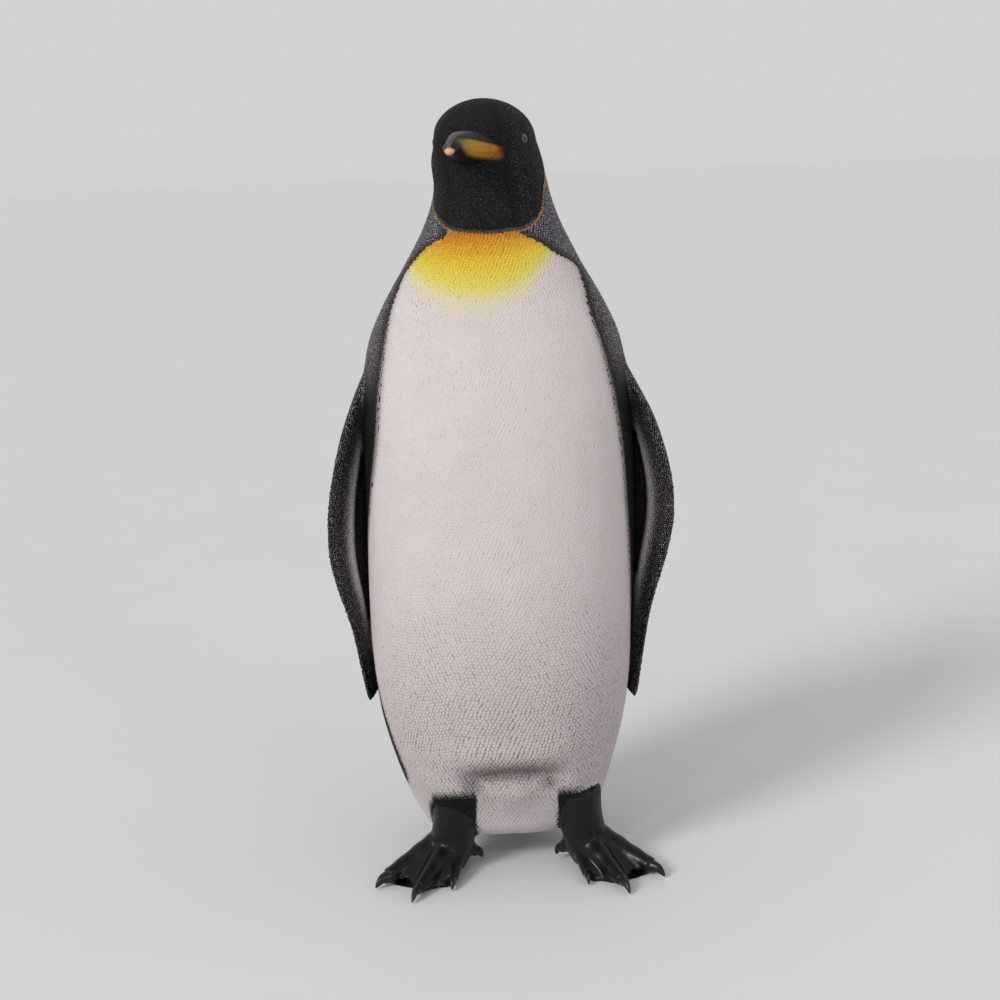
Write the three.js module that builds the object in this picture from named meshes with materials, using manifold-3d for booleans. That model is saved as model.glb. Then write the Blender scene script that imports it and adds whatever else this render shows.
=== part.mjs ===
// King penguin statue: a standing king penguin, life-size, cast in resin and painted.
// Units are millimetres. +Z is up, the bird faces -Y, so its own left side is +X.
// The construction frame has its origin on the floor under the trunk's axis.
// The last lines move the figure so that the origin is the middle of its bounding box's bottom.

import * as THREE from 'three';
import { mergeVertices } from 'three/addons/utils/BufferGeometryUtils.js';
import Module from 'manifold-3d';

const wasm = await Module();
wasm.setup();

// ---------------------------------------------------------------- driving dimensions

const CUT = 0.3; // width of every parting cut
const STANDING_HEIGHT = 903;
const EYE_HEIGHT = 856; // the skull's dome starts here
const HEM_HEIGHT = 36; // underside of the trunk
const NECK_CUT_HEIGHT = 690; // trunk below, neck above
const HEAD_CUT_HEIGHT = 762; // neck below, head above
const SECTION_POWER = 2.25; // 2 is an ellipse, more is squarer
const DOME_POWER = 2;
const CROWN_SHARE = 0.02; // the crown's last ring, as a share of the head's width
const FOREHEAD_POWER = 1.5; // the forehead slopes more than the crown's sides

// Lines of the body, as [height, distance] pairs. Reaches are measured from the body's axis.
const HALF_WIDTH = [
  [HEM_HEIGHT, 84], [46, 99], [64, 109], [90, 119], [140, 134], [200, 147], [300, 155], [420, 157],
  [540, 155], [600, 151], [640, 142], [677, 125], [722, 99], [767, 76], [800, 65], [834, 62.5],
  [EYE_HEIGHT, 57.5],
];
const FRONT_REACH = [
  [HEM_HEIGHT, 38], [46, 52], [70, 68], [100, 82], [135, 100], [170, 121], [220, 134], [300, 142], [400, 145],
  [500, 141], [570, 130], [630, 113], [680, 94], [725, 74], [752, 61], [766, 62], [785, 61], [818, 53],
  [EYE_HEIGHT, 59],
];
const BACK_REACH = [
  [HEM_HEIGHT, 44], [50, 68], [90, 95], [140, 111], [220, 125], [320, 131], [420, 129], [520, 119],
  [600, 105], [660, 90], [720, 72], [765, 59], [800, 55.5], [830, 58], [EYE_HEIGHT, 61],
];
const SIDEWAYS_SHIFT = [
  [HEM_HEIGHT, 0], [90, -4], [180, -6], [300, -4], [420, 0], [700, 1], [760, 3.5], [800, 4], [834, 0],
  [EYE_HEIGHT, -2], [STANDING_HEIGHT, -4],
];
const HEAD_TURN = 17; // degrees to the bird's right
const NECK_TWIST_FROM = 690;
const NECK_TWIST_TO = 800;
const PELVIS_TURN = 4; // degrees to the bird's left, fading out up to the chest
const CHEST_HEIGHT = 420;

const BELLY_FOLD = { height: 136, depth: 13, drop: 12, halfWidth: 54 };
const BELLY_ROLL = { height: 164, depth: 7, drop: 20, halfWidth: 70 };
const BELLY_BULGE = { height: 106, depth: 8, drop: 24, halfWidth: 24 }; // between the legs, under the fold
const BELLY_DIMPLES = { height: 122, depth: 5, drop: 13, across: 44, halfWidth: 13 };
const THIGH = { height: 116, depth: 17, drop: 38, across: 79, halfWidth: 42 };

const EYE = { radius: 8, bearing: 73, sink: 8.6, hollow: 4, hollowRadius: 13 };

// The bill runs along the head's own forward axis, and its tip droops.
const BILL_LINE = [ // forward reach, height of its middle, half-width, half-height
  [30, 848, 38, 20], [48, 849.5, 33.5, 18.5], [66, 851.5, 25, 16], [84, 854, 17, 13.5], [100, 855, 12, 11.5],
  [112, 854, 9, 9.3], [122, 851, 6.8, 6.8], [127, 848, 4.6, 4.8], [130, 846, 2, 2],
];
// The mouth's line along the bill: forward reach, height.
const GAPE_LINE = [
  [30, 846], [50, 851.5], [66, 856], [84, 859.5], [100, 860], [112, 857.5], [122, 851.5], [127, 846.5],
  [130, 843.5],
];

// A flipper's stations: [share from shoulder to tip, chord, thickness, chord's turn in degrees].
const FLIPPER_SECTIONS = [
  [0, 66, 24, 10], [0.12, 86, 23, 18], [0.32, 92, 20, 27], [0.55, 88, 18, 30], [0.75, 74, 14, 22],
  [0.92, 56, 11, 12], [1, 48, 10, 8],
];
const FLIPPER_LEFT = {
  side: 1, topReach: 150, bendReach: 208, bendHeight: 432, tipReach: 157, tipHeight: 198,
};
const FLIPPER_RIGHT = {
  side: -1, topReach: 150, bendReach: 208, bendHeight: 398, tipReach: 170, tipHeight: 206,
};
const FLIPPER_THINNING = 0.62; // how much of its thickness a flipper loses by its hind edge
const SHOULDER_HEIGHT = 612;
// The leading edge's place, from shoulder to tip: [share, behind the trunk's axis].
const FLIPPER_LEADING_EDGE = [[0, -36], [0.3, -52], [0.55, -50], [0.8, -36], [1, -22]];
// Points between a flipper's tip, bend and shoulder.
const FLIPPER_LOWER = { riseShare: 0.45, reachShare: 0.36 };
const FLIPPER_UPPER = { riseShare: 0.55, inset: 16 };
const SHOULDER_ROUND = { below: 20, outset: 12 };

// Feet. Points are across from the middle, ahead of the trunk's axis, and up.
const FEET_SHIFT = 6; // both feet stand a little to the bird's left
const ANKLE = { across: 78, ahead: 48, cutHeight: 40 };
const LEG_SECTIONS = [ // height, half-width, half-depth, across, ahead
  [0, 12, 14, 78, 44], [12, 19, 20, 79, 45], [28, 25, 25, 80, 47], [46, 26.5, 25, 78, 49],
  [70, 26, 26, 75, 51], [104, 27, 26, 74, 54],
];
const TOES = {
  outer: {
    root: [97, 47, 30], knuckle: [135, 70, 16], end: [156, 88, 10.5], claw: [170.5, 100, 2.6],
    radii: [18, 12.5, 9.5],
  },
  middle: {
    root: [86, 60, 26], knuckle: [107, 97, 15], end: [119, 120, 9.5], claw: [126, 140, 2.2],
    radii: [18, 10.5, 7.6],
  },
  inner: {
    root: [77, 60, 18], knuckle: [79, 83, 12], end: [80, 97, 8], claw: [80, 112, 2.2],
    radii: [12, 9, 6.8],
  },
  hind: {
    root: [70, 50, 26], knuckle: [59, 44, 23.5], end: [53, 41.5, 18], claw: [44.5, 38, 8],
    radii: [11, 9, 7.2],
  },
};
const CLAW = { hump: 3.4, fit: 0.86, point: 0.8, taper: 0.75, flatness: 0.85, room: 1.5, reach: 40 };
// The web is a fan round the ankle: [direction in degrees outward from ahead, reach].
const WEB_EDGE = [[-4, 38], [3, 50], [12, 55], [22, 57], [31, 76], [41, 71], [52, 69], [61, 80], [68, 62]];
const WEB_RISE = { edge: 8, ankle: 52, power: 1.1, start: 0.06 };

const TAIL = { // a flat wedge from the rump down and back to the floor: [behind the axis, height]
  root: [46, 112], middle: [114, 60], tip: [172, 4], halfWidths: [84, 52, 25], halfHeights: [64, 26, 4],
};

// How finely each form is divided.
const SIDES_BODY = 32;
const BODY_ZONES = [ // from height, to height, rings
  [HEM_HEIGHT, 190, 11], [190, 560, 6], [560, NECK_CUT_HEIGHT, 6], [NECK_CUT_HEIGHT, EYE_HEIGHT, 9],
];
const RINGS_DOME = 6;
const BILL_SIDES = 20;
const GAPE_STATIONS = 20;
const EYE_SEGMENTS = { around: 12, down: 8 };
const FLIPPER_STATIONS = 15;
const FLIPPER_SIDES = 14;
const LEG_STATIONS = 9;
const LEG_SIDES = 18;
const TOE = { steps: 4, sides: 8, knuckleShare: 0.6 };
const CLAW_SEGMENTS = { steps: 4, sides: 7, roomSides: 6 };
const WEB_DIRECTIONS = 9;
const WEB_STATIONS = 5;
const TAIL_STATIONS = 8;
const TAIL_SIDES = 20;

// ---------------------------------------------------------------- finishes

const paint = (color, roughness) => (
  new THREE.MeshStandardMaterial({ color, roughness, metalness: 0 })
);
const WHITE_PAINT = paint(0xd6cdc3, 0.55);
const GREY_PAINT = paint(0x66626c, 0.5);
const BLACK_PAINT = paint(0x1e1c1e, 0.45);
const BIB_PAINT = paint(0xc6881c, 0.5);
const GLOSS_BLACK = paint(0x17161a, 0.2);
const EYE_GLASS = paint(0x0c0806, 0.05);

// ---------------------------------------------------------------- helpers

/** A smooth function through rows of [position, value]; `column` picks the value. Its ends run on level. */
function smoothLine(pairs, column = 1) {
  const last = pairs.length - 1;
  const step = (i) => (pairs[i + 1][column] - pairs[i][column]) / (pairs[i + 1][0] - pairs[i][0]);
  const slope = (i) => (step(Math.max(i - 1, 0)) + step(Math.min(i, last - 1))) / 2;
  return (position) => {
    if (position <= pairs[0][0]) return pairs[0][column];
    if (position >= pairs[last][0]) return pairs[last][column];
    const i = pairs.findIndex((pair) => pair[0] > position) - 1;
    const span = pairs[i + 1][0] - pairs[i][0];
    const t = (position - pairs[i][0]) / span;
    const rise = t * t * (3 - 2 * t);
    return pairs[i][column] * (1 - rise) + pairs[i + 1][column] * rise
      + span * t * (1 - t) * (slope(i) * (1 - t) - slope(i + 1) * t);
  };
}

const smoothStep = (from, to, x) => THREE.MathUtils.smoothstep(x, from, to);
const bump = (distance, width) => Math.exp(-((distance / width) ** 2));
const plateau = (distance, width) => Math.exp(-((distance / width) ** 4));
const spread = (count) => Array.from({ length: count }, (_, i) => i / (count - 1));

/** The middle of a ring of points. */
function middleOf(ring) {
  return ring.reduce((sum, point) => sum.add(point), new THREE.Vector3()).divideScalar(ring.length);
}

/** Joins rings of points into one closed solid with its faces outward. Each end is a fan round its middle. */
function loft(rings) {
  const sides = rings[0].length;
  const points = [...rings.flat(), middleOf(rings[0]), middleOf(rings[rings.length - 1])];
  const firstMiddle = points.length - 2;
  const lastMiddle = points.length - 1;
  const lastRing = (rings.length - 1) * sides;
  const faces = [];
  for (let side = 0; side < sides; side++) {
    const next = (side + 1) % sides;
    faces.push([firstMiddle, next, side]);
    faces.push([lastMiddle, lastRing + side, lastRing + next]);
    for (let ring = 0; ring < rings.length - 1; ring++) {
      const low = ring * sides;
      const high = low + sides;
      faces.push([low + side, low + next, high + next]);
      faces.push([low + side, high + next, high + side]);
    }
  }
  const volume = faces.reduce((sum, [a, b, c]) => (
    sum + points[a].dot(new THREE.Vector3().crossVectors(points[b], points[c]))
  ), 0);
  const outward = volume > 0 ? faces : faces.map(([a, b, c]) => [a, c, b]);
  const geometry = new THREE.BufferGeometry().setFromPoints(points);
  geometry.setIndex(outward.flat());
  return geometry;
}

/** A closed geometry as a solid that can be joined and cut. */
function solid(geometry) {
  const bare = geometry.clone();
  bare.deleteAttribute('normal');
  bare.deleteAttribute('uv');
  const merged = mergeVertices(bare, 1e-4);
  return new wasm.Manifold(new wasm.Mesh({
    numProp: 3,
    vertProperties: new Float32Array(merged.attributes.position.array),
    triVerts: new Uint32Array(merged.index.array),
  }));
}

function geometryOf(body) {
  const { vertProperties, triVerts } = body.getMesh();
  const geometry = new THREE.BufferGeometry();
  geometry.setAttribute('position', new THREE.BufferAttribute(new Float32Array(vertProperties), 3));
  geometry.setIndex(new THREE.BufferAttribute(new Uint32Array(triVerts), 1));
  geometry.computeVertexNormals();
  return geometry;
}

/** A box between two corners, as a solid. */
function block(low, high) {
  const box = new THREE.Box3(new THREE.Vector3(...low), new THREE.Vector3(...high));
  const size = box.getSize(new THREE.Vector3());
  const middle = box.getCenter(new THREE.Vector3());
  return solid(new THREE.BoxGeometry(size.x, size.y, size.z).translate(middle.x, middle.y, middle.z));
}

const WIDE = 500;
const HEAD_CLEARANCE = 60; // well beyond the bill's sides
const slice = (low, high) => block([-WIDE, -WIDE, low], [WIDE, WIDE, high]);
const ABOVE_FLOOR = slice(0, STANDING_HEIGHT + WIDE);

/** A round-sectioned solid along a path, thicker or thinner by `radiusAt`, wider than tall by `flatness`. */
function taperedTube(path, radiusAt, steps, sides, flatness = 1) {
  const up = new THREE.Vector3(0, 0, 1);
  return loft(spread(steps + 1).map((share) => {
    const middle = path.getPoint(share);
    const along = path.getTangent(share);
    const across = new THREE.Vector3().crossVectors(along, up).normalize();
    const over = new THREE.Vector3().crossVectors(across, along);
    const radius = radiusAt(share);
    return Array.from({ length: sides }, (_, side) => {
      const angle = (2 * Math.PI * side) / sides;
      return middle.clone()
        .addScaledVector(across, radius * flatness * Math.cos(angle))
        .addScaledVector(over, radius * Math.sin(angle));
    });
  }));
}

// ---------------------------------------------------------------- trunk, neck and head as one form

const halfWidth = smoothLine(HALF_WIDTH);
const frontReach = smoothLine(FRONT_REACH);
const backReach = smoothLine(BACK_REACH);
const sidewaysShift = smoothLine(SIDEWAYS_SHIFT);

/** How far the section at a height is turned, in radians. Positive turns the front to the bird's left. */
function turnAt(height) {
  const pelvis = PELVIS_TURN * (1 - smoothStep(HEM_HEIGHT, CHEST_HEIGHT, height));
  const head = HEAD_TURN * smoothStep(NECK_TWIST_FROM, NECK_TWIST_TO, height);
  return THREE.MathUtils.degToRad(pelvis - head);
}

/** Turns a point given as (to the left, ahead) in the section's own frame into the figure's frame. */
function placed(leftward, ahead, height) {
  const turn = turnAt(height);
  return new THREE.Vector3(
    sidewaysShift(height) + leftward * Math.cos(turn) + ahead * Math.sin(turn),
    leftward * Math.sin(turn) - ahead * Math.cos(turn),
    height,
  );
}

const rounded = (value) => Math.sign(value) * Math.abs(value) ** (2 / SECTION_POWER);

/** The belly's fold, the roll over it and the thighs, as an extra reach ahead. */
function bellyRelief(leftward, height) {
  const { height: foldHeight, depth, drop, halfWidth: foldWidth } = BELLY_FOLD;
  const fold = depth * bump(height - foldHeight, drop) * plateau(leftward, foldWidth);
  const roll = BELLY_ROLL.depth * bump(height - BELLY_ROLL.height, BELLY_ROLL.drop)
    * plateau(leftward, BELLY_ROLL.halfWidth);
  const bulge = BELLY_BULGE.depth * bump(height - BELLY_BULGE.height, BELLY_BULGE.drop)
    * bump(leftward, BELLY_BULGE.halfWidth);
  const dimples = BELLY_DIMPLES.depth * bump(height - BELLY_DIMPLES.height, BELLY_DIMPLES.drop)
    * bump(Math.abs(leftward) - BELLY_DIMPLES.across, BELLY_DIMPLES.halfWidth);
  const thigh = THIGH.depth * bump(height - THIGH.height, THIGH.drop)
    * bump(Math.abs(leftward) - THIGH.across, THIGH.halfWidth);
  return roll + bulge + thigh - fold - dimples;
}

/** A point of the body's surface. Angle 0 is the bird's left, a quarter turn on is its front. */
function bodyPoint(height, angle, shrink = 1, grow = 0, forehead = shrink) {
  const level = Math.min(height, EYE_HEIGHT);
  const aheadShare = Math.sin(angle);
  const leftward = (shrink * halfWidth(level) + grow) * rounded(Math.cos(angle));
  const reach = aheadShare > 0 ? forehead * frontReach(level) : shrink * backReach(level);
  const relief = aheadShare > 0 ? bellyRelief(leftward, height) * aheadShare : 0;
  return placed(leftward, (reach + grow) * rounded(aheadShare) + relief, height);
}

/** The middle of an eye; side is 1 for the left eye. */
function eyeMiddle(side) {
  const bearing = THREE.MathUtils.degToRad(EYE.bearing);
  const surface = bodyPoint(EYE_HEIGHT, Math.PI / 2 - side * bearing);
  const axis = placed(0, 0, EYE_HEIGHT);
  return surface.addScaledVector(surface.clone().sub(axis).normalize(), -EYE.sink);
}

/** Hollows the head round each eye. */
function withEyeHollows(point) {
  const axis = placed(0, 0, point.z);
  for (const side of [1, -1]) {
    const depth = EYE.hollow * bump(point.distanceTo(eyeMiddle(side)), EYE.hollowRadius);
    point.addScaledVector(axis.clone().sub(point).normalize(), depth);
  }
  return point;
}

const domeShare = (rise, power) => (1 - rise ** power) ** (1 / power);

function bodyRing(height, shrink = 1, grow = 0, forehead = shrink) {
  return Array.from({ length: SIDES_BODY }, (_, side) => (
    withEyeHollows(bodyPoint(height, (2 * Math.PI * side) / SIDES_BODY, shrink, grow, forehead))
  ));
}

function wholeBody(grow = 0) {
  const rings = [bodyRing(HEM_HEIGHT - grow, 1, grow)];
  for (const [from, to, count] of BODY_ZONES) {
    for (let ring = 1; ring <= count; ring++) {
      rings.push(bodyRing(THREE.MathUtils.lerp(from, to, ring / count), 1, grow));
    }
  }
  for (let ring = 1; ring < RINGS_DOME; ring++) {
    const angle = (Math.PI / 2) * (ring / RINGS_DOME);
    const rise = Math.sin(angle);
    const height = EYE_HEIGHT + (STANDING_HEIGHT - EYE_HEIGHT) * rise;
    rings.push(bodyRing(height, domeShare(rise, DOME_POWER), grow, domeShare(rise, FOREHEAD_POWER)));
  }
  rings.push(bodyRing(STANDING_HEIGHT + grow, CROWN_SHARE));
  return solid(loft(rings));
}

// ---------------------------------------------------------------- bill

/** A point of the bill given in the head's own frame: to the left, ahead, up. */
const headPoint = (leftward, ahead, height) => {
  const point = placed(leftward, ahead, EYE_HEIGHT);
  point.z = height;
  return point;
};

function billSolid() {
  return solid(loft(BILL_LINE.map(([reach, middle, width, half]) => (
    Array.from({ length: BILL_SIDES }, (_, side) => {
      const angle = (2 * Math.PI * side) / BILL_SIDES;
      return headPoint(width * Math.cos(angle), reach, middle + half * Math.sin(angle));
    })
  ))));
}

/** Everything of the bill under the mouth's line. */
function belowGape(offset) {
  const gapeHeight = smoothLine(GAPE_LINE);
  const first = GAPE_LINE[0][0] - HEAD_CLEARANCE;
  const last = GAPE_LINE[GAPE_LINE.length - 1][0] + HEAD_CLEARANCE;
  const bottom = EYE_HEIGHT - 2 * HEAD_CLEARANCE;
  return solid(loft(spread(GAPE_STATIONS).map((share) => {
    const reach = THREE.MathUtils.lerp(first, last, share);
    const top = gapeHeight(reach) + offset;
    return [[-1, bottom], [1, bottom], [1, top], [-1, top]].map(([side, height]) => (
      headPoint(side * HEAD_CLEARANCE, reach, height)
    ));
  })));
}

// ---------------------------------------------------------------- flippers

/** The outermost line of a flipper, from shoulder to tip. */
function flipperLine({ side, topReach, bendReach, bendHeight, tipReach, tipHeight }) {
  const { lerp } = THREE.MathUtils;
  const { riseShare, reachShare } = FLIPPER_LOWER;
  const reaches = smoothLine([
    [tipHeight, tipReach],
    [lerp(tipHeight, bendHeight, riseShare), lerp(tipReach, bendReach, reachShare)],
    [bendHeight, bendReach],
    [lerp(bendHeight, SHOULDER_HEIGHT, FLIPPER_UPPER.riseShare), bendReach - FLIPPER_UPPER.inset],
    [SHOULDER_HEIGHT - SHOULDER_ROUND.below, topReach + SHOULDER_ROUND.outset],
    [SHOULDER_HEIGHT, topReach],
  ]);
  return (share) => {
    const height = THREE.MathUtils.lerp(SHOULDER_HEIGHT, tipHeight, share);
    return new THREE.Vector3(side * reaches(height), 0, height);
  };
}

/** A flipper's section is thick and round in front and thin behind. */
function flipperSolid(flipper, grow = 0) {
  const line = flipperLine(flipper);
  const chord = smoothLine(FLIPPER_SECTIONS, 1);
  const thickness = smoothLine(FLIPPER_SECTIONS, 2);
  const turn = smoothLine(FLIPPER_SECTIONS, 3);
  const leadingEdge = smoothLine(FLIPPER_LEADING_EDGE);
  return solid(loft(spread(FLIPPER_STATIONS).map((share) => {
    const outer = line(share);
    const angle = THREE.MathUtils.degToRad(turn(share));
    const half = thickness(share) / 2;
    return Array.from({ length: FLIPPER_SIDES }, (_, i) => {
      const round = (2 * Math.PI * i) / FLIPPER_SIDES;
      const back = (chord(share) / 2 + grow) * (1 - Math.cos(round)) - grow;
      const fatness = 1 - FLIPPER_THINNING * smoothStep(0.1, 1, back / chord(share));
      const sideways = (half * fatness + grow) * Math.sin(round);
      const inward = back * Math.sin(angle) + half + sideways * Math.cos(angle);
      const behind = back * Math.cos(angle) - sideways * Math.sin(angle);
      return new THREE.Vector3(outer.x - flipper.side * inward, leadingEdge(share) + behind, outer.z);
    });
  })));
}

// ---------------------------------------------------------------- legs, feet and claws

const footPoint = (side, [across, ahead, height]) => (
  new THREE.Vector3(side * across + FEET_SHIFT, -ahead, height)
);

function legSolid(side, grow = 0) {
  const [width, depth, across, ahead] = [1, 2, 3, 4].map((column) => smoothLine(LEG_SECTIONS, column));
  const high = LEG_SECTIONS[LEG_SECTIONS.length - 1][0];
  return solid(loft(spread(LEG_STATIONS).map((share) => {
    const height = share * (high + grow);
    return Array.from({ length: LEG_SIDES }, (_, corner) => {
      const angle = (2 * Math.PI * corner) / LEG_SIDES;
      return footPoint(side, [
        across(height) + (width(height) + grow) * Math.cos(angle),
        ahead(height) + (depth(height) + grow) * Math.sin(angle),
        height,
      ]);
    });
  })));
}

function toePath(side, { root, knuckle, end }) {
  return new THREE.CatmullRomCurve3([root, knuckle, end].map((point) => footPoint(side, point)));
}

function toeSolid(side, toe) {
  const radius = smoothLine([[0, toe.radii[0]], [TOE.knuckleShare, toe.radii[1]], [1, toe.radii[2]]]);
  return solid(taperedTube(toePath(side, toe), radius, TOE.steps, TOE.sides));
}

/** A claw is a curved cone from the toe's end down to the floor. */
function clawSolid(side, { end, claw, radii }) {
  const from = footPoint(side, end);
  const to = footPoint(side, claw);
  const hump = from.clone().lerp(to, 0.5).add(new THREE.Vector3(0, 0, CLAW.hump));
  const path = new THREE.QuadraticBezierCurve3(from, hump, to);
  const base = radii[2] * CLAW.fit;
  const radius = (share) => CLAW.point + (base - CLAW.point) * (1 - share) ** CLAW.taper;
  return solid(taperedTube(path, radius, CLAW_SEGMENTS.steps, CLAW_SEGMENTS.sides, CLAW.flatness));
}

/** The room a claw takes at the toe's end: everything ahead of the toe's last joint, near its axis. */
function clawRoomSolid(side, { end, knuckle, radii }) {
  const from = footPoint(side, end);
  const ahead = from.clone().sub(footPoint(side, knuckle)).normalize();
  const width = radii[2] * CLAW.room;
  return (margin) => {
    const path = new THREE.LineCurve3(
      from.clone().addScaledVector(ahead, -margin), from.clone().addScaledVector(ahead, CLAW.reach),
    );
    return solid(taperedTube(path, () => width, 1, CLAW_SEGMENTS.roomSides));
  };
}

/** The web between the toes: a fan with hollow front edges that rises to the ankle. */
function webSolid(side) {
  const edge = smoothLine(WEB_EDGE);
  const [first, last] = [WEB_EDGE[0][0], WEB_EDGE[WEB_EDGE.length - 1][0]];
  const directions = spread(WEB_DIRECTIONS).map((share) => THREE.MathUtils.lerp(first, last, share));
  const { edge: low, ankle: high, power, start } = WEB_RISE;
  return solid(loft(spread(WEB_STATIONS).map((share) => {
    const rise = low + (high - low) * (1 - share) ** power;
    const row = (height) => directions.map((direction) => {
      const reach = (start + (1 - start) * share) * edge(direction);
      const angle = THREE.MathUtils.degToRad(direction);
      return footPoint(side, [
        ANKLE.across + reach * Math.sin(angle), ANKLE.ahead + reach * Math.cos(angle), height,
      ]);
    });
    return [...row(rise), ...row(0).reverse()];
  })));
}

/** Leg and foot as one form, standing flat on the floor. */
function wholeLeg(side) {
  const toes = Object.values(TOES).map((toe) => toeSolid(side, toe));
  return [webSolid(side), ...toes]
    .reduce((sum, piece) => sum.add(piece), legSolid(side))
    .intersect(ABOVE_FLOOR);
}

// ---------------------------------------------------------------- tail

function tailSolid() {
  const { root, middle, tip, halfWidths, halfHeights } = TAIL;
  const path = new THREE.CatmullRomCurve3([root, middle, tip].map(([behind, height]) => (
    new THREE.Vector3(sidewaysShift(height), behind, height)
  )));
  const width = smoothLine([[0, halfWidths[0]], [0.5, halfWidths[1]], [1, halfWidths[2]]]);
  const height = smoothLine([[0, halfHeights[0]], [0.5, halfHeights[1]], [1, halfHeights[2]]]);
  return solid(loft(spread(TAIL_STATIONS).map((share) => {
    const along = path.getTangent(share);
    const over = new THREE.Vector3(0, -along.z, along.y);
    return Array.from({ length: TAIL_SIDES }, (_, i) => {
      const angle = (2 * Math.PI * i) / TAIL_SIDES;
      return path.getPoint(share)
        .add(new THREE.Vector3(width(share) * Math.cos(angle), 0, 0))
        .addScaledVector(over, height(share) * Math.sin(angle));
    });
  }))).intersect(ABOVE_FLOOR);
}

// ---------------------------------------------------------------- assembly

const figure = new THREE.Group();

function addPiece(name, body, material) {
  const mesh = new THREE.Mesh(geometryOf(body), material);
  mesh.name = name;
  figure.add(mesh);
}

/** Keeps the largest of a solid's separate lumps. */
function mainLump(body) {
  return body.decompose().reduce((best, lump) => (lump.volume() > best.volume() ? lump : best));
}

const sides = { left: 1, right: -1 };
const flippers = { left: FLIPPER_LEFT, right: FLIPPER_RIGHT };

let flesh = wholeBody();
const fleshAndCut = wholeBody(CUT);
const bill = mainLump(billSolid().subtract(fleshAndCut));

for (const [name, side] of Object.entries(sides)) {
  const centre = eyeMiddle(side);
  const ball = (radius) => solid(
    new THREE.SphereGeometry(radius, EYE_SEGMENTS.around, EYE_SEGMENTS.down).translate(...centre.toArray()),
  );
  flesh = flesh.subtract(ball(EYE.radius + CUT));
  addPiece(`eye_${name}`, ball(EYE.radius), EYE_GLASS);
  const flipper = flipperSolid(flippers[name]);
  flesh = flesh.subtract(flipperSolid(flippers[name], CUT));
  addPiece(`wing_${name}`, flipper, BLACK_PAINT);
  flesh = flesh.subtract(legSolid(side, CUT));
}

addPiece('trunk', mainLump(flesh.intersect(slice(0, NECK_CUT_HEIGHT))), WHITE_PAINT);
addPiece('tail', mainLump(tailSolid().subtract(fleshAndCut)), BLACK_PAINT);
addPiece('neck', mainLump(flesh.intersect(slice(NECK_CUT_HEIGHT + CUT, HEAD_CUT_HEIGHT))), GREY_PAINT);
const aboveNeck = slice(HEAD_CUT_HEIGHT + CUT, STANDING_HEIGHT + WIDE);
addPiece('head', mainLump(flesh.intersect(aboveNeck)), BLACK_PAINT);
addPiece('bill_upper', mainLump(bill.subtract(belowGape(CUT / 2))), GLOSS_BLACK);
addPiece('bill_lower', mainLump(bill.intersect(belowGape(-CUT / 2))), BIB_PAINT);

for (const [name, side] of Object.entries(sides)) {
  let limb = wholeLeg(side);
  for (const [toeName, toe] of Object.entries(TOES)) {
    const claw = clawSolid(side, toe).intersect(ABOVE_FLOOR);
    const clawRoom = clawRoomSolid(side, toe);
    addPiece(`claw_${toeName}_${name}`, mainLump(claw.intersect(clawRoom(0))), GLOSS_BLACK);
    limb = limb.subtract(clawRoom(CUT));
  }
  addPiece(`leg_${name}`, mainLump(limb.intersect(slice(ANKLE.cutHeight + CUT, WIDE))), GLOSS_BLACK);
  addPiece(`foot_${name}`, mainLump(limb.intersect(slice(0, ANKLE.cutHeight))), GLOSS_BLACK);
}

const box = new THREE.Box3().setFromObject(figure);
const middle = box.getCenter(new THREE.Vector3());
figure.position.set(-middle.x, -middle.y, -box.min.z);

export default figure;
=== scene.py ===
"""King penguin statue: paint, coat and light for the cast figure that the frame holds.

Lengths are millimetres in the sculptor's frame until they reach Blender, which has metres.
That frame has its origin on the floor under the trunk's axis and +Z up. The bird faces -Y, and its
own left side is +X.
"""

import math
from functools import partial

import bpy
import numpy as np
from mathutils import Euler, Matrix, Vector
from mathutils.bvhtree import BVHTree


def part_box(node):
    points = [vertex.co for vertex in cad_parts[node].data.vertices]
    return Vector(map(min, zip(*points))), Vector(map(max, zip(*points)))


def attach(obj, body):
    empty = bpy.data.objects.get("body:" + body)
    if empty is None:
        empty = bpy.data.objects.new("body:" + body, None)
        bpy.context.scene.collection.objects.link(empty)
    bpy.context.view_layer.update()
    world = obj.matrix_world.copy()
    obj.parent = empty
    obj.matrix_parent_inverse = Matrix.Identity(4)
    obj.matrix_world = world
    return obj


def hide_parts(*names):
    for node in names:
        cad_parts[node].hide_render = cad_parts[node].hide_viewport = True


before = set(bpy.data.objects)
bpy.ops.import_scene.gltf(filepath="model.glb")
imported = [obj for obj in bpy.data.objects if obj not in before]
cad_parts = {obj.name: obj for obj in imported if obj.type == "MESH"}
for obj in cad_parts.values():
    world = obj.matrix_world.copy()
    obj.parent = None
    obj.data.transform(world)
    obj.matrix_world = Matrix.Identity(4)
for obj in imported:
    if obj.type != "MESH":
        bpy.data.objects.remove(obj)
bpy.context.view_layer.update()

# ---------------------------------------------------------------- driving dimensions

HEM_HEIGHT = 36
EYE_HEIGHT = 856  # the skull's dome starts here
STANDING_HEIGHT = 903
SECTION_POWER = 2.25  # 2 is an ellipse, more is squarer
DOME_POWER = 2
FOREHEAD_POWER = 1.5

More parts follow.
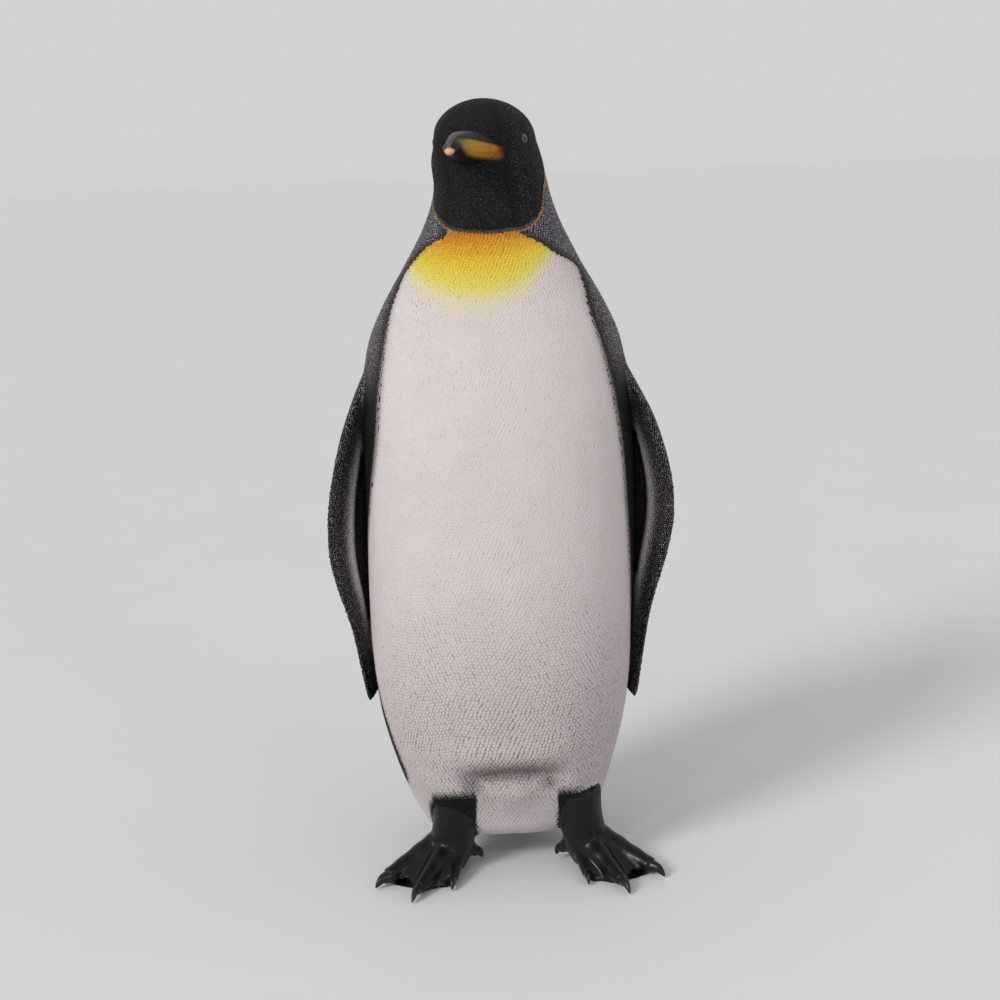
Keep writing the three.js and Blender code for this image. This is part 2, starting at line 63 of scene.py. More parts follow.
# Lines of the body, as [height, distance from the body's axis].
HALF_WIDTH = [
    [HEM_HEIGHT, 84], [46, 99], [64, 109], [90, 119], [140, 134], [200, 147], [300, 155], [420, 157],
    [540, 155], [600, 151], [640, 142], [677, 125], [722, 99], [767, 76], [800, 65], [834, 62.5],
    [EYE_HEIGHT, 57.5],
]
FRONT_REACH = [
    [HEM_HEIGHT, 38], [46, 52], [70, 68], [100, 82], [135, 100], [170, 121], [220, 134], [300, 142],
    [400, 145], [500, 141], [570, 130], [630, 113], [680, 94], [725, 74], [752, 61], [766, 62], [785, 61],
    [818, 53], [EYE_HEIGHT, 59],
]
BACK_REACH = [
    [HEM_HEIGHT, 44], [50, 68], [90, 95], [140, 111], [220, 125], [320, 131], [420, 129], [520, 119],
    [600, 105], [660, 90], [720, 72], [765, 59], [800, 55.5], [830, 58], [EYE_HEIGHT, 61],
]
SIDEWAYS_SHIFT = [
    [HEM_HEIGHT, 0], [90, -4], [180, -6], [300, -4], [420, 0], [700, 1], [760, 3.5], [800, 4], [834, 0],
    [EYE_HEIGHT, -2], [STANDING_HEIGHT, -4],
]
HEAD_TURN, NECK_TWIST = 17, (690, 800)  # degrees to the bird's right, and the heights it comes in over
PELVIS_TURN, CHEST_HEIGHT = 4, 420  # degrees to the bird's left, gone by the chest

BELLY_FOLD = dict(height=136, depth=13, drop=12, half_width=54)
BELLY_ROLL = dict(height=164, depth=7, drop=20, half_width=70)
BELLY_BULGE = dict(height=106, depth=8, drop=24, across=0, half_width=24)  # between the legs, under the fold
BELLY_DIMPLES = dict(height=122, depth=5, drop=13, across=44, half_width=13)
THIGH = dict(height=116, depth=17, drop=38, across=79, half_width=42)
EYE = dict(radius=8, bearing=73, sink=8.6, hollow=4, hollow_radius=13)

# The bill along the head's forward axis: reach, height of its middle, half-width, half-height.
BILL_LINE = [
    [30, 848, 38, 20], [48, 849.5, 33.5, 18.5], [66, 851.5, 25, 16], [84, 854, 17, 13.5],
    [100, 855, 12, 11.5], [112, 854, 9, 9.3], [122, 851, 6.8, 6.8], [127, 848, 4.6, 4.8], [130, 846, 2, 2],
]

# A flipper's stations: share of the way down, chord, thickness, the chord's turn in degrees.
FLIPPER_SECTIONS = [
    [0, 66, 24, 10], [0.12, 86, 23, 18], [0.32, 92, 20, 27], [0.55, 88, 18, 30], [0.75, 74, 14, 22],
    [0.92, 56, 11, 12], [1, 48, 10, 8],
]
FLIPPER_LEADING_EDGE = [[0, -36], [0.3, -52], [0.55, -50], [0.8, -36], [1, -22]]
FLIPPER_THINNING = 0.62  # how much of its thickness a flipper loses toward its hind edge
THINNED_OVER = (0.1, 1)  # the shares of the chord that it is lost over
FLIPPERS = {
    "left": dict(side=1, top_reach=150, bend_reach=208, bend_height=432, tip_reach=157, tip_height=198),
    "right": dict(side=-1, top_reach=150, bend_reach=208, bend_height=398, tip_reach=170, tip_height=206),
}
SHOULDER_HEIGHT = 612
# More points of a flipper's outermost line: one under the bend as shares of the way from the tip, one
# over it as a share of the way up and a length inward, and one as lengths down and out from the shoulder.
FLIPPER_BOW = dict(below_bend=(0.45, 0.36), above_bend=(0.55, 16), under_shoulder=(20, 12))
# Along a flipper's inner face, by the share of its chord: a groove, a round ridge and a deeper hollow.
GROOVE = dict(depth=2.0, at=0.19, width=0.07)
# Angle and sheen place and size the painted highlight along the ridge.
RIDGE = dict(height=3.4, at=0.36, width=0.1, angle=1.29, sheen=7.0)
HOLLOW = dict(depth=3.0, at=0.58, width=0.1)
RELIEF_ENDS = dict(top=(0.08, 0.25), tip=(1, 0.85))  # shares of the way down where those three fade in

TAIL_SHARES = (0, 0.5, 1)
TAIL = dict(  # a flat wedge from the rump down and back to the floor: [behind the axis, height]
    points=[[46, 112], [114, 60], [172, 4]], half_widths=(84, 52, 25), half_heights=(64, 26, 4),
    ribs=7, rib_depth=1.6, ribbed=(0.4, 0.9),
)

FEET_SHIFT = 6  # both feet stand a little to the bird's left
ANKLE_ACROSS, ANKLE_AHEAD = 78, 48
LEG_SECTIONS = [  # height, half-width, half-depth, across, ahead
    [0, 12, 14, 78, 44], [12, 19, 20, 79, 45], [28, 25, 25, 80, 47], [46, 26.5, 25, 78, 49],
    [70, 26, 26, 75, 51], [104, 27, 26, 74, 54],
]
TOES = {  # points are across, ahead, up; radii are at the root, the knuckle and the end
    "outer": dict(
        root=(97, 47, 30), knuckle=(135, 70, 16), end=(156, 88, 10.5), claw=(170.5, 100, 2.6),
        radii=(18, 12.5, 9.5),
    ),
    "middle": dict(
        root=(86, 60, 26), knuckle=(107, 97, 15), end=(119, 120, 9.5), claw=(126, 140, 2.2),
        radii=(18, 10.5, 7.6),
    ),
    "inner": dict(
        root=(77, 60, 18), knuckle=(79, 83, 12), end=(80, 97, 8), claw=(80, 112, 2.2), radii=(12, 9, 6.8),
    ),
    "hind": dict(
        root=(70, 50, 26), knuckle=(59, 44, 23.5), end=(53, 41.5, 18), claw=(44.5, 38, 8),
        radii=(11, 9, 7.2),
    ),
}
TOE_SHARES = (0, 0.6, 1)  # how far along a toe its root, knuckle and end radii are
TOE_JOINTS, KNUCKLE_SWELL = 3, 0.03
CLAW = dict(hump=3.4, fit=0.98, point=0.8, taper=0.75, flatness=0.85, root_share=0.12, rings=28, sides=24)
WEB = dict(edge=8, ankle=52, power=1.1, start=0.06, tendon=0.7, tendons=9, tendon_from=4)
# The web's outline round the ankle: degrees outward from straight ahead, reach.
WEB_EDGE = [[-4, 38], [3, 50], [12, 55], [22, 57], [31, 76], [41, 72], [52, 73], [61, 83], [68, 66]]

# The mouth's line along the bill: reach, height.
GAPE_LINE = [
    [30, 846], [50, 851.5], [66, 856], [84, 859.5], [100, 860], [112, 857.5], [122, 851.5], [127, 846.5],
    [130, 843.5],
]
GAPE_GAP = 0.4
CULMEN_PINCH = 0.25  # how much narrower the bill is high on its sides
CROWN_SHARE = 0.995  # the crown closes just short of its top

# How the skin is made: grid sizes, how hard it is evened out, and the blends where limbs join.
SKIN = dict(
    coat_depth=0.6, voxel=2.0, triangles=190000, ring_gap=3, crown_rings=24, sides=240, limb_rings=110,
    limb_sides=72, toe_sides=28, web_rings=30, web_sides=30, grain_pull=0.4, grain_rounds=4,
    blend=9.0, blend_pull=0.5, blend_rounds=40,
)

# Where the paint goes. Bearings are degrees round from the front, heights are millimetres. A pair is
# where a marking fades: from nothing at its first number to full strength at its second.
WHITE_EDGE = [  # height, bearing on the bird's right, bearing on its left
    [60, 100, 104], [92, 90, 98], [112, 74, 94], [150, 70, 92], [190, 71, 88], [280, 84, 76], [380, 83, 68],
    [450, 71, 64], [520, 62, 62], [568, 60, 60], [640, 62, 59], [675, 67, 61], [700, 70, 67],
    [717, 69.5, 70], [732, 62, 58], [746, 52, 49], [753, 39, 40], [764, 33, 33],
]
# The last two set how much darker the white is along its border with the black, and over how many
# millimetres.
WHITE = dict(soft=3.0, softer=7.0, softens=(700, 560), border=13, edge_stain=0.4, stain_reach=6)
HOOD_EDGE = [  # bearing either way, height
    [0, 756.5], [22, 758.5], [38, 762], [50, 771], [65, 788], [78, 804], [95, 815], [120, 800], [150, 788],
    [180, 785],
]
HOOD = dict(  # turn is degrees that its lower edge is turned to the bird's left of the neck's front
    turn=7, turned=(120, 60), soft=1.6, rim=2.2, rim_bearing=(62, 48), collar=1.5, collar_drop=1.6,
    collar_start=(24, 36), collar_end=(90, 82),
)
BIB_EDGE = [[-72, 726], [-50, 702], [-14, 685], [14, 692], [40, 716], [60, 738]]  # bearing, lowest height
BIB_TOP = 757
EAR = dict(start=(84, 803), end=(132, 837), girth=64, stem=2.2, head=12.5, swell=1.3, soft=1.6)
# The grey is laid only on the crowns of the beads, so it is the back's colour and a painted highlight at
# once; flipper is how much of it a flipper takes.
GREY = dict(side=(566, 640), back=(200, 620), rump=0.35, back_bearing=(95, 150), flipper=0.78)
SHEEN = dict(top=(0.1, 0.3), tip=(0.9, 0.6))  # where a flipper's painted ridge highlight fades in and out, as shares of the way down it
SATIN = dict(grey=0.7, flipper=0.8, yellow=0.35, yellow_bib=(0, 0.4), hood_loss=0.7)
FOLD_SHADE_AND_DIRT = dict(BELLY_FOLD, height=142, drop=16, depth=0.66)  # painted shade, with some dirt, in the fold; the depth of a shade mark is its strength
# Painted shade in the dimples at the fold's ends.
DIMPLE_SHADE = dict(BELLY_DIMPLES, depth=0.66)
# Painted shade in the hollows between beads, growing down the belly and fading out near the hem.
LOW_BELLY_SHADE = dict(belly=(440, 170), hem=(55, 120))
CUFF = dict(height=(23, -4), column=(1.12, 0.9), reach=5.5)  # heights are over the line where the coat ends
GAP_SHADE = dict(top=(585, 545), strength=0.9)  # painted shade, near black, between flipper and body where they lie close
LEG_TOP = dict(height=66, slope=0.42, soft=1.5)  # where the coat ends, a plane that rises toward the front
LIMB_EDGE = 2.0  # half the soft edge between the paint of a limb and of the trunk
CREEP = 2.5  # millimetres that dark paint creeps along the hollows between beads

SEED = 7
COAT_LIMIT = 190000  # triangles in one coat piece
BAKE = dict(margin=0.01, patch=0.003)
# A bead's form is in shares of its radius and height. Wander, row_gap and cover are shares of the
# pitch, uneven is a share of the size, swing is in radians, reach and eye_room are in millimetres, and
# fewest is beads in a row.
BEAD = dict(
    root=0.2, waist=0.52, shoulder=0.68, lean=0.2, wander=0.1, row_gap=0.87, reach=3.5, eye_room=0.6,
    swing=0.45, uneven=0.12, cover=0.92, fewest=6,
)
DRIFT = [(5.0, 190.0), (1.0, 61.0), (0.4, 17.0)]  # how rows wander: millimetres to the side, wave's length

# ---------------------------------------------------------------- forms


def smooth_line(pairs, column=1):
    """A smooth curve through [position, value] pairs, level beyond its ends."""
    table = np.array(pairs, float)
    at, value = table[:, 0], table[:, column]
    step = np.diff(value) / np.diff(at)
    slope = np.concatenate([step[:1], (step[1:] + step[:-1]) / 2, step[-1:]])

    def read(position):
        place = np.clip(position, at[0], at[-1])
        i = np.clip(np.searchsorted(at, place, side="right") - 1, 0, len(at) - 2)
        span = at[i + 1] - at[i]
        t = (place - at[i]) / span
        rise = t * t * (3 - 2 * t)
        bend = span * t * (1 - t) * (slope[i] * (1 - t) - slope[i + 1] * t)
        return value[i] * (1 - rise) + value[i + 1] * rise + bend

    return read


def smooth_step(low, high, value):
    """A smooth rise from 0 at low to 1 at high, where low may be the greater."""
    share = np.clip((value - low) / (high - low), 0, 1)
    return share * share * (3 - 2 * share)


def bump(distance, width):
    """1 at no distance, fading away round its width."""
    return np.exp(-((distance / width) ** 2))


def plateau(distance, width):
    """Near 1 over most of its width, with a steeper edge than a bump."""
    return np.exp(-((distance / width) ** 4))


half_width, front_reach, back_reach, sideways_shift = map(
    smooth_line, (HALF_WIDTH, FRONT_REACH, BACK_REACH, SIDEWAYS_SHIFT)
)


def turn_at(height):
    """How far a section is turned, in radians. Positive turns the front to the bird's left."""
    pelvis = PELVIS_TURN * (1 - smooth_step(HEM_HEIGHT, CHEST_HEIGHT, height))
    head = HEAD_TURN * smooth_step(*NECK_TWIST, height)
    return np.radians(pelvis - head)


def placed(leftward, ahead, height):
    """Turns (leftward, ahead) in the section's own frame into the sculptor's frame."""
    turn = turn_at(height)
    x = sideways_shift(height) + leftward * np.cos(turn) + ahead * np.sin(turn)
    y = leftward * np.sin(turn) - ahead * np.cos(turn)
    return np.stack(np.broadcast_arrays(x, y, height), -1).astype(float)


def in_section(points):
    """How far each point is leftward and ahead in its section's frame."""
    turn = turn_at(points[..., 2])
    across = points[..., 0] - sideways_shift(points[..., 2])
    leftward = across * np.cos(turn) + points[..., 1] * np.sin(turn)
    ahead = across * np.sin(turn) - points[..., 1] * np.cos(turn)
    return leftward, ahead


def rounded(value):
    """A sine or cosine as the reach of a section that is squarer than an ellipse."""
    return np.sign(value) * np.abs(value) ** (2 / SECTION_POWER)


def band(form, leftward, height):
    """A level band across the belly, that fades over its drop and past its half-width."""
    level = form["depth"] * bump(height - form["height"], form["drop"])
    return level * plateau(leftward, form["half_width"])


def mounds(form, leftward, height):
    """A round mound on either side, or one in the middle where its place across is 0."""
    level = form["depth"] * bump(height - form["height"], form["drop"])
    return level * bump(np.abs(leftward) - form["across"], form["half_width"])


def belly_relief(leftward, height):
    """The belly's fold, the roll over it and the thighs, as an extra reach ahead."""
    return (
        band(BELLY_ROLL, leftward, height)
        + mounds(BELLY_BULGE, leftward, height)
        + mounds(THIGH, leftward, height)
        - band(BELLY_FOLD, leftward, height)
        - mounds(BELLY_DIMPLES, leftward, height)
    )


def body_point(height, angle, grow=0.0, shrink=1.0, forehead=None):
    """A point of the body's surface. Angle 0 is the bird's left, and a quarter turn on is its front."""
    height, angle = np.broadcast_arrays(np.asarray(height, float), np.asarray(angle, float))
    ahead_share = np.sin(angle)
    leftward = (shrink * half_width(height) + grow) * rounded(np.cos(angle))
    front = (shrink if forehead is None else forehead) * front_reach(height)
    reach = np.where(ahead_share > 0, front, shrink * back_reach(height))
    relief = belly_relief(leftward, height) * np.maximum(ahead_share, 0)
    return placed(leftward, (reach + grow) * rounded(ahead_share) + relief, height)


def dome_point(rise, angle, grow=0.0):
    """A point of the skull above the eyes; rise runs from 0 at the eyes to 1 at the crown."""
    rise, angle = np.broadcast_arrays(np.asarray(rise, float), np.asarray(angle, float))
    height = EYE_HEIGHT + (STANDING_HEIGHT + grow - EYE_HEIGHT) * rise
    crown = (1 - rise**DOME_POWER) ** (1 / DOME_POWER)
    forehead = (1 - rise**FOREHEAD_POWER) ** (1 / FOREHEAD_POWER)
    return body_point(height, angle, grow * crown, crown, forehead)


def eye_middle(side):
    """The middle of an eye. Side is 1 for the bird's left and -1 for its right."""
    surface = body_point(EYE_HEIGHT, math.pi / 2 - side * math.radians(EYE["bearing"]))
    outward = surface - placed(0, 0, EYE_HEIGHT)
    return surface - outward / np.linalg.norm(outward) * EYE["sink"]


def head_point(leftward, ahead, height):
    """A point given in the head's own frame: to the left, ahead, up."""
    point = placed(leftward, ahead, np.full(np.shape(ahead), float(EYE_HEIGHT)))
    point[..., 2] = height
    return point


def with_eye_hollows(points):
    """Sinks the head round each eye."""
    axis = placed(0, 0, points[..., 2])
    for side in (1, -1):
        far = np.linalg.norm(points - eye_middle(side), axis=-1)
        depth = EYE["hollow"] * bump(far, EYE["hollow_radius"])
        inward = axis - points
        length = np.maximum(np.linalg.norm(inward, axis=-1, keepdims=True), 1e-6)
        points = points + inward / length * depth[..., None]
    return points


def trunk_surface(station, angle, grow=0.0):
    """The whole body by one station: a height up to the eyes, and on to the crown above them."""
    rise = np.clip((station - EYE_HEIGHT) / (STANDING_HEIGHT - EYE_HEIGHT), 0, CROWN_SHARE)
    below = body_point(np.minimum(station, EYE_HEIGHT), angle, grow)
    above = dome_point(np.sin(rise * math.pi / 2), angle, grow)
    return with_eye_hollows(np.where((station > EYE_HEIGHT)[..., None], above, below))


# ---------------------------------------------------------------- flippers, tail, legs


def flipper_reach(flipper):
    """The flipper's outermost line, as a reach from the middle by height."""
    top, bend, tip = (flipper[f"{place}_reach"] for place in ("top", "bend", "tip"))
    bend_height, tip_height = flipper["bend_height"], flipper["tip_height"]
    (low, low_reach), (high, high_drop) = FLIPPER_BOW["below_bend"], FLIPPER_BOW["above_bend"]
    shoulder_drop, shoulder_reach = FLIPPER_BOW["under_shoulder"]
    return smooth_line([
        [tip_height, tip],
        [tip_height + low * (bend_height - tip_height), tip + low_reach * (bend - tip)],
        [bend_height, bend],
        [bend_height + high * (SHOULDER_HEIGHT - bend_height), bend - high_drop],
        [SHOULDER_HEIGHT - shoulder_drop, top + shoulder_reach],
        [SHOULDER_HEIGHT, top],
    ])


chord_line, thickness_line, chord_turn = (smooth_line(FLIPPER_SECTIONS, column) for column in (1, 2, 3))
leading_edge = smooth_line(FLIPPER_LEADING_EDGE)


def flipper_surface(flipper, share, angle, grow=0.0):
    """A flipper is thick and round in front and thin behind. Its inner face carries a long ridge."""
    share, angle = np.broadcast_arrays(share, angle)
    height = SHOULDER_HEIGHT + (flipper["tip_height"] - SHOULDER_HEIGHT) * share
    chord, half, turn = chord_line(share), thickness_line(share) / 2, np.radians(chord_turn(share))
    back = (chord / 2 + grow) * (1 - np.cos(angle)) - grow
    thinness = 1 - FLIPPER_THINNING * smooth_step(*THINNED_OVER, back / chord)
    ridge = RIDGE["height"] * bump(back / chord - RIDGE["at"], RIDGE["width"])
    groove = GROOVE["depth"] * bump(back / chord - GROOVE["at"], GROOVE["width"])
    hollow = HOLLOW["depth"] * bump(back / chord - HOLLOW["at"], HOLLOW["width"])
    fade = smooth_step(*RELIEF_ENDS["top"], share) * smooth_step(*RELIEF_ENDS["tip"], share)
    relief = (ridge - groove - hollow) * np.maximum(np.sin(angle), 0) * fade
    sideways = (half * thinness + grow) * np.sin(angle) + relief
    inward = back * np.sin(turn) + half + sideways * np.cos(turn)
    behind = back * np.cos(turn) - sideways * np.sin(turn)
    outer = flipper_reach(flipper)(height)
    return np.stack([flipper["side"] * (outer - inward), leading_edge(share) + behind, height], -1)


def tail_surface(share, angle, grow=0.0):
    """The tail's flat wedge, with the ribs of its long stiff feathers."""
    share, angle = np.broadcast_arrays(share, angle)
    behind, height = (smooth_line(np.column_stack([TAIL_SHARES, column])) for column in zip(*TAIL["points"]))
    width = smooth_line(np.column_stack([TAIL_SHARES, TAIL["half_widths"]]))
    thick = smooth_line(np.column_stack([TAIL_SHARES, TAIL["half_heights"]]))
    step = 0.01
    run = np.stack([line(share + step) - line(share - step) for line in (behind, height)])
    run = run / np.linalg.norm(run, axis=0)
    ribs = TAIL["rib_depth"] * np.cos(TAIL["ribs"] * math.pi * np.cos(angle))
    ribs = ribs * smooth_step(*TAIL["ribbed"], share)
    over = (thick(share) + grow + ribs) * np.sin(angle)
    across = (width(share) + grow) * np.cos(angle)
    middle = sideways_shift(height(share))
    return np.stack([middle + across, behind(share) - over * run[1], height(share) + over * run[0]], -1)


def foot_point(side, across, ahead, height):
    """A place on the left or right foot: across from the middle, ahead of the axis, up."""
    return np.stack(np.broadcast_arrays(side * across + FEET_SHIFT, -ahead, height), -1).astype(float)


leg_width, leg_depth, leg_across, leg_ahead = (smooth_line(LEG_SECTIONS, column) for column in (1, 2, 3, 4))


def leg_surface(side, height, angle):
    """The shank, from the floor up into the belly."""
    across = leg_across(height) + leg_width(height) * np.cos(angle)
    return foot_point(side, across, leg_ahead(height) + leg_depth(height) * np.sin(angle), height)


def curve_through(places):
    """A smooth curve through a few places, by share of the way."""
    places = np.array(places, float)
    steps = np.linalg.norm(np.diff(places, axis=0), axis=1)
    shares = np.concatenate([[0], np.cumsum(steps)]) / steps.sum()
    lines = [smooth_line(np.column_stack([shares, places[:, k]])) for k in range(3)]
    return lambda share: np.stack([line(share) for line in lines], -1)


def tube_surface(curve, radius, share, angle, flatness=1.0):
    """A round-sectioned form along a curve, wider than tall by its flatness."""
    step = 0.01
    along = curve(np.minimum(share + step, 1)) - curve(np.maximum(share - step, 0))
    across = np.cross(along, (0, 0, 1))
    across /= np.linalg.norm(across, axis=-1, keepdims=True)
    over = np.cross(across, along)
    over /= np.linalg.norm(over, axis=-1, keepdims=True)
    wide = (radius(share) * flatness * np.cos(angle))[..., None]
    tall = (radius(share) * np.sin(angle))[..., None]
    return curve(share) + across * wide + over * tall


def toe_surface(side, toe, share, angle):
    """A toe with a swelling at each joint."""
    curve = curve_through([foot_point(side, *place) for place in (toe["root"], toe["knuckle"], toe["end"])])
    plain = smooth_line(np.column_stack([TOE_SHARES, toe["radii"]]))

    def radius(at):
        return plain(at) * (1 + KNUCKLE_SWELL * np.cos(at * TOE_JOINTS * 2 * math.pi))

    return tube_surface(curve, radius, share, angle)


def claw_surface(side, toe, share, angle):
    """A claw is a curved cone from inside the toe's end down to the floor."""
    start, tip = foot_point(side, *toe["end"]), foot_point(side, *toe["claw"])
    inside = start + (start - foot_point(side, *toe["knuckle"])) * -CLAW["root_share"]
    crest = (start + tip) / 2 + np.array((0, 0, CLAW["hump"]))
    curve = curve_through([inside, start, crest, tip])
    base = toe["radii"][2] * CLAW["fit"]

    def radius(at):
        return CLAW["point"] + (base - CLAW["point"]) * (1 - at) ** CLAW["taper"]

    return tube_surface(curve, radius, share, angle, CLAW["flatness"])


web_edge = smooth_line(WEB_EDGE)


def web_surface(side, share, direction, top):
    """The web's fan round the ankle, either its top or its flat underside."""
    rise = WEB["edge"] + (WEB["ankle"] - WEB["edge"]) * (1 - share) ** WEB["power"]
    tendon = WEB["tendon"] * np.cos(np.radians(direction - WEB["tendon_from"]) * WEB["tendons"]) * share
    reach = (WEB["start"] + (1 - WEB["start"]) * share) * web_edge(direction)
    turn = np.radians(direction)
    across, ahead = ANKLE_ACROSS + reach * np.sin(turn), ANKLE_AHEAD + reach * np.cos(turn)
    return foot_point(side, across, ahead, (rise + tendon) * top)


# ---------------------------------------------------------------- bill

bill_middle, bill_width, bill_height = (smooth_line(BILL_LINE, column) for column in (1, 2, 3))
gape_height = smooth_line(GAPE_LINE)


def bill_surface(reach, angle, swell=0.0):
    """The closed bill, narrower above its middle than below it."""
    pinch = 1 - CULMEN_PINCH * smooth_step(0, 1, np.sin(angle)) * np.abs(np.cos(angle))
    leftward = bill_width(reach) * np.cos(angle) * pinch * (1 + swell)
    return head_point(leftward, reach, bill_middle(reach) + bill_height(reach) * np.sin(angle))


# ---------------------------------------------------------------- beads, face and studio


def steady(value):
    """A line that has one value everywhere."""
    return smooth_line([[0, value], [1, value]])


FRONT_BEADS = dict(
    pitch=smooth_line([[60, 4.6], [200, 4.6], [420, 4.2], [760, 3.5]]),
    relief=smooth_line([
        [60, 1.0], [110, 1.5], [170, 2.1], [250, 1.7], [330, 1.0], [450, 0.62], [640, 0.58], [700, 1.2],
        [760, 1.9],
    ]),
    sides=6, domed=True, length=1.12, slot="white_paint",
)
BACK_BEADS = dict(pitch=steady(3.4), relief=steady(1.0), sides=5, domed=True, length=1.2, slot="grey_paint")
DARK_BEADS = dict(sides=5, domed=False, slot="black_paint")
HEAD_BEADS = dict(DARK_BEADS, pitch=steady(2.2), relief=steady(0.4), length=1.2)
FLIPPER_BEADS = dict(DARK_BEADS, pitch=steady(2.9), relief=steady(0.8), length=1.2)
TAIL_BEADS = dict(DARK_BEADS, pitch=steady(3.6), relief=steady(0.4), length=1.7)

# The stations that the rows of beads are measured along.
TRUNK_STATIONS = np.concatenate([
    np.linspace(HEM_HEIGHT + 2, EYE_HEIGHT, 820), np.linspace(EYE_HEIGHT, STANDING_HEIGHT, 60)[1:]
])
FLIPPER_STATIONS = np.linspace(0.02, 1, 400)
TAIL_STATIONS = np.linspace(0.1, 1, 200)

BILL = dict(rings=120, sides=64, lip=1.5, upper_end=130, lower_end=128.5)
PLATE = dict(
    reach=73, height=847.5, slope=0.205, half_length=44, half_height=8.2, soft=0.3, far_reach=(46, 38),
    cheek=(38, 31),
)
WRINKLE = dict(height=0.035, waves=15, drift=0.12, reach=68, spread=16)  # folds over the bill's root
SPOT = dict(place=(0.5, 127.0, 846.0), radii=(6.4, 6.0, 4.8), soft=0.15)
# A painted highlight along the top of the bill, by share of the way up and by reach.
TOP_HIGHLIGHT = dict(up=(0.7, 1.0), reach=(60, 100))
EYEBALL = dict(rings=40, sides=48, pole=0.02, pupil=(25, 22), iris=(47, 43))
LID = dict(long=7.2, tall=7.8, thick=1.0, brow=0.25, out=3.4, sides=64, rings=14)

CAMERA = dict(place=(0, -1900, 870), down=12.7, lean=2.3, focal_pixels=1653, picture=1000, sensor=36)
SUN = dict(place=(-1.45, -1.35, 1.65), spread=17, strength=1.82)  # a wide soft key from the upper left
FILL = dict(place=(1.7, -2.2, 0.7), size=1.0, power=6.5)  # a weak one from the lower right
GLINT = dict(place=(-0.7, -2.0, 1.9), size=0.12, power=4.0)  # a small lamp for the sparkle on gloss
SKY_STRENGTH = 0.64
FLOOR_HALF, FLOOR_DROP = 30.0, 0.0005


# ---------------------------------------------------------------- meshes

MM = 0.001
sculptor_origin = np.mean(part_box("eye_left"), axis=0) / MM - eye_middle(1)


def in_frame(points):
    """Sculptor's millimetres to the frame's metres."""
    return (points + sculptor_origin) * MM


def from_frame(points):
    """The frame's metres to sculptor's millimetres."""
    return points / MM - sculptor_origin


def wrapped(surface, stations, sides):
    """Rings of points round a closed surface, as (points, faces), with both ends closed."""
    angles = np.arange(sides) * 2 * math.pi / sides
    rings = np.stack([surface(np.full(sides, float(station)), angles) for station in stations])
    points = rings.reshape(-1, 3)
    ring = np.arange(len(stations) - 1)[:, None] * sides
    here, after = np.arange(sides), (np.arange(sides) + 1) % sides
    quads = np.stack(
        [ring + here, ring + after, ring + sides + after, ring + sides + here], -1
    ).reshape(-1, 4).tolist()
    last = len(points) - sides
    return points, quads + [list(range(sides))[::-1], list(range(last, last + sides))]


def joined(parts):
    """Several (points, faces) as one."""
    points, faces, start = [], [], 0
    for part_points, part_faces in parts:
        points.append(part_points)
        faces += [[start + corner for corner in face] for face in part_faces]
        start += len(part_points)
    return np.concatenate(points), faces


def make_piece(name, points, faces, finish=None):
    """A smooth-shaded mesh object from sculptor's points, with its faces turned outward."""
    mesh = bpy.data.meshes.new(name)
    mesh.from_pydata(in_frame(points).tolist(), [], faces)
    mesh.validate()
    mesh.shade_smooth()
    piece = bpy.data.objects.new(name, mesh)
    bpy.context.scene.collection.objects.link(piece)
    if volume_of(mesh) < 0:
        mesh.flip_normals()
    if finish:
        mesh.materials.append(finish)
    return piece


def volume_of(mesh):
    """Six times the signed volume of a closed mesh."""
    mesh.calc_loop_triangles()
    corners = np.empty(len(mesh.loop_triangles) * 3, np.int32)
    mesh.loop_triangles.foreach_get("vertices", corners)
    places = points_of(mesh)[corners].reshape(-1, 3, 3)
    return float(np.einsum("ij,ij->", places[:, 0], np.cross(places[:, 1], places[:, 2])))


def points_of(mesh):
    """A mesh's vertices in its own metres."""
    places = np.empty(len(mesh.vertices) * 3, np.float32)
    mesh.vertices.foreach_get("co", places)
    return places.reshape(-1, 3).astype(float)


def with_modifiers_applied(piece):
    """Bakes a piece's modifiers into its mesh."""
    graph = bpy.context.evaluated_depsgraph_get()
    made = bpy.data.meshes.new_from_object(piece.evaluated_get(graph))
    old, name = piece.data, piece.data.name
    piece.modifiers.clear()
    piece.data = made
    bpy.data.meshes.remove(old)
    made.name = name
    return made


def give_masks(piece, masks):
    """Stores each mask as one number per vertex, which the paint reads."""
    for name, values in masks.items():
        attribute = piece.data.attributes.new(name, "FLOAT", "POINT")
        attribute.data.foreach_set("value", np.ascontiguousarray(values, np.float32))


def floored(points):
    """Lays whatever hangs below the floor flat on it."""
    return np.concatenate([points[:, :2], np.maximum(points[:, 2:], 0)], 1)


# ---------------------------------------------------------------- the skin


def trunk_form():
    """Trunk, neck and head, as far inside the nodes as the coat is deep."""
    stations = np.concatenate([
        np.arange(HEM_HEIGHT + SKIN["coat_depth"], EYE_HEIGHT, SKIN["ring_gap"]),
        np.linspace(EYE_HEIGHT, STANDING_HEIGHT, SKIN["crown_rings"]),
    ])
    return wrapped(partial(trunk_surface, grow=-SKIN["coat_depth"]), stations, SKIN["sides"])


def flipper_form(flipper):
    surface = partial(flipper_surface, flipper, grow=-SKIN["coat_depth"])
    return wrapped(surface, np.linspace(0, 1, SKIN["limb_rings"]), SKIN["limb_sides"])


def tail_form():
    surface = partial(tail_surface, grow=-SKIN["coat_depth"])
    points, faces = wrapped(surface, np.linspace(0, 1, SKIN["limb_rings"]), SKIN["sides"])
    return floored(points), faces


def web_form(side):
    """The web as a closed fan: its top out and its underside back."""
    directions = np.linspace(WEB_EDGE[0][0], WEB_EDGE[-1][0], SKIN["web_sides"])

    def section(share, _):
        return np.concatenate([
            web_surface(side, share[0], directions, 1), web_surface(side, share[0], directions[::-1], 0)
        ])

    return wrapped(section, np.linspace(0, 1, SKIN["web_rings"]), 2 * SKIN["web_sides"])


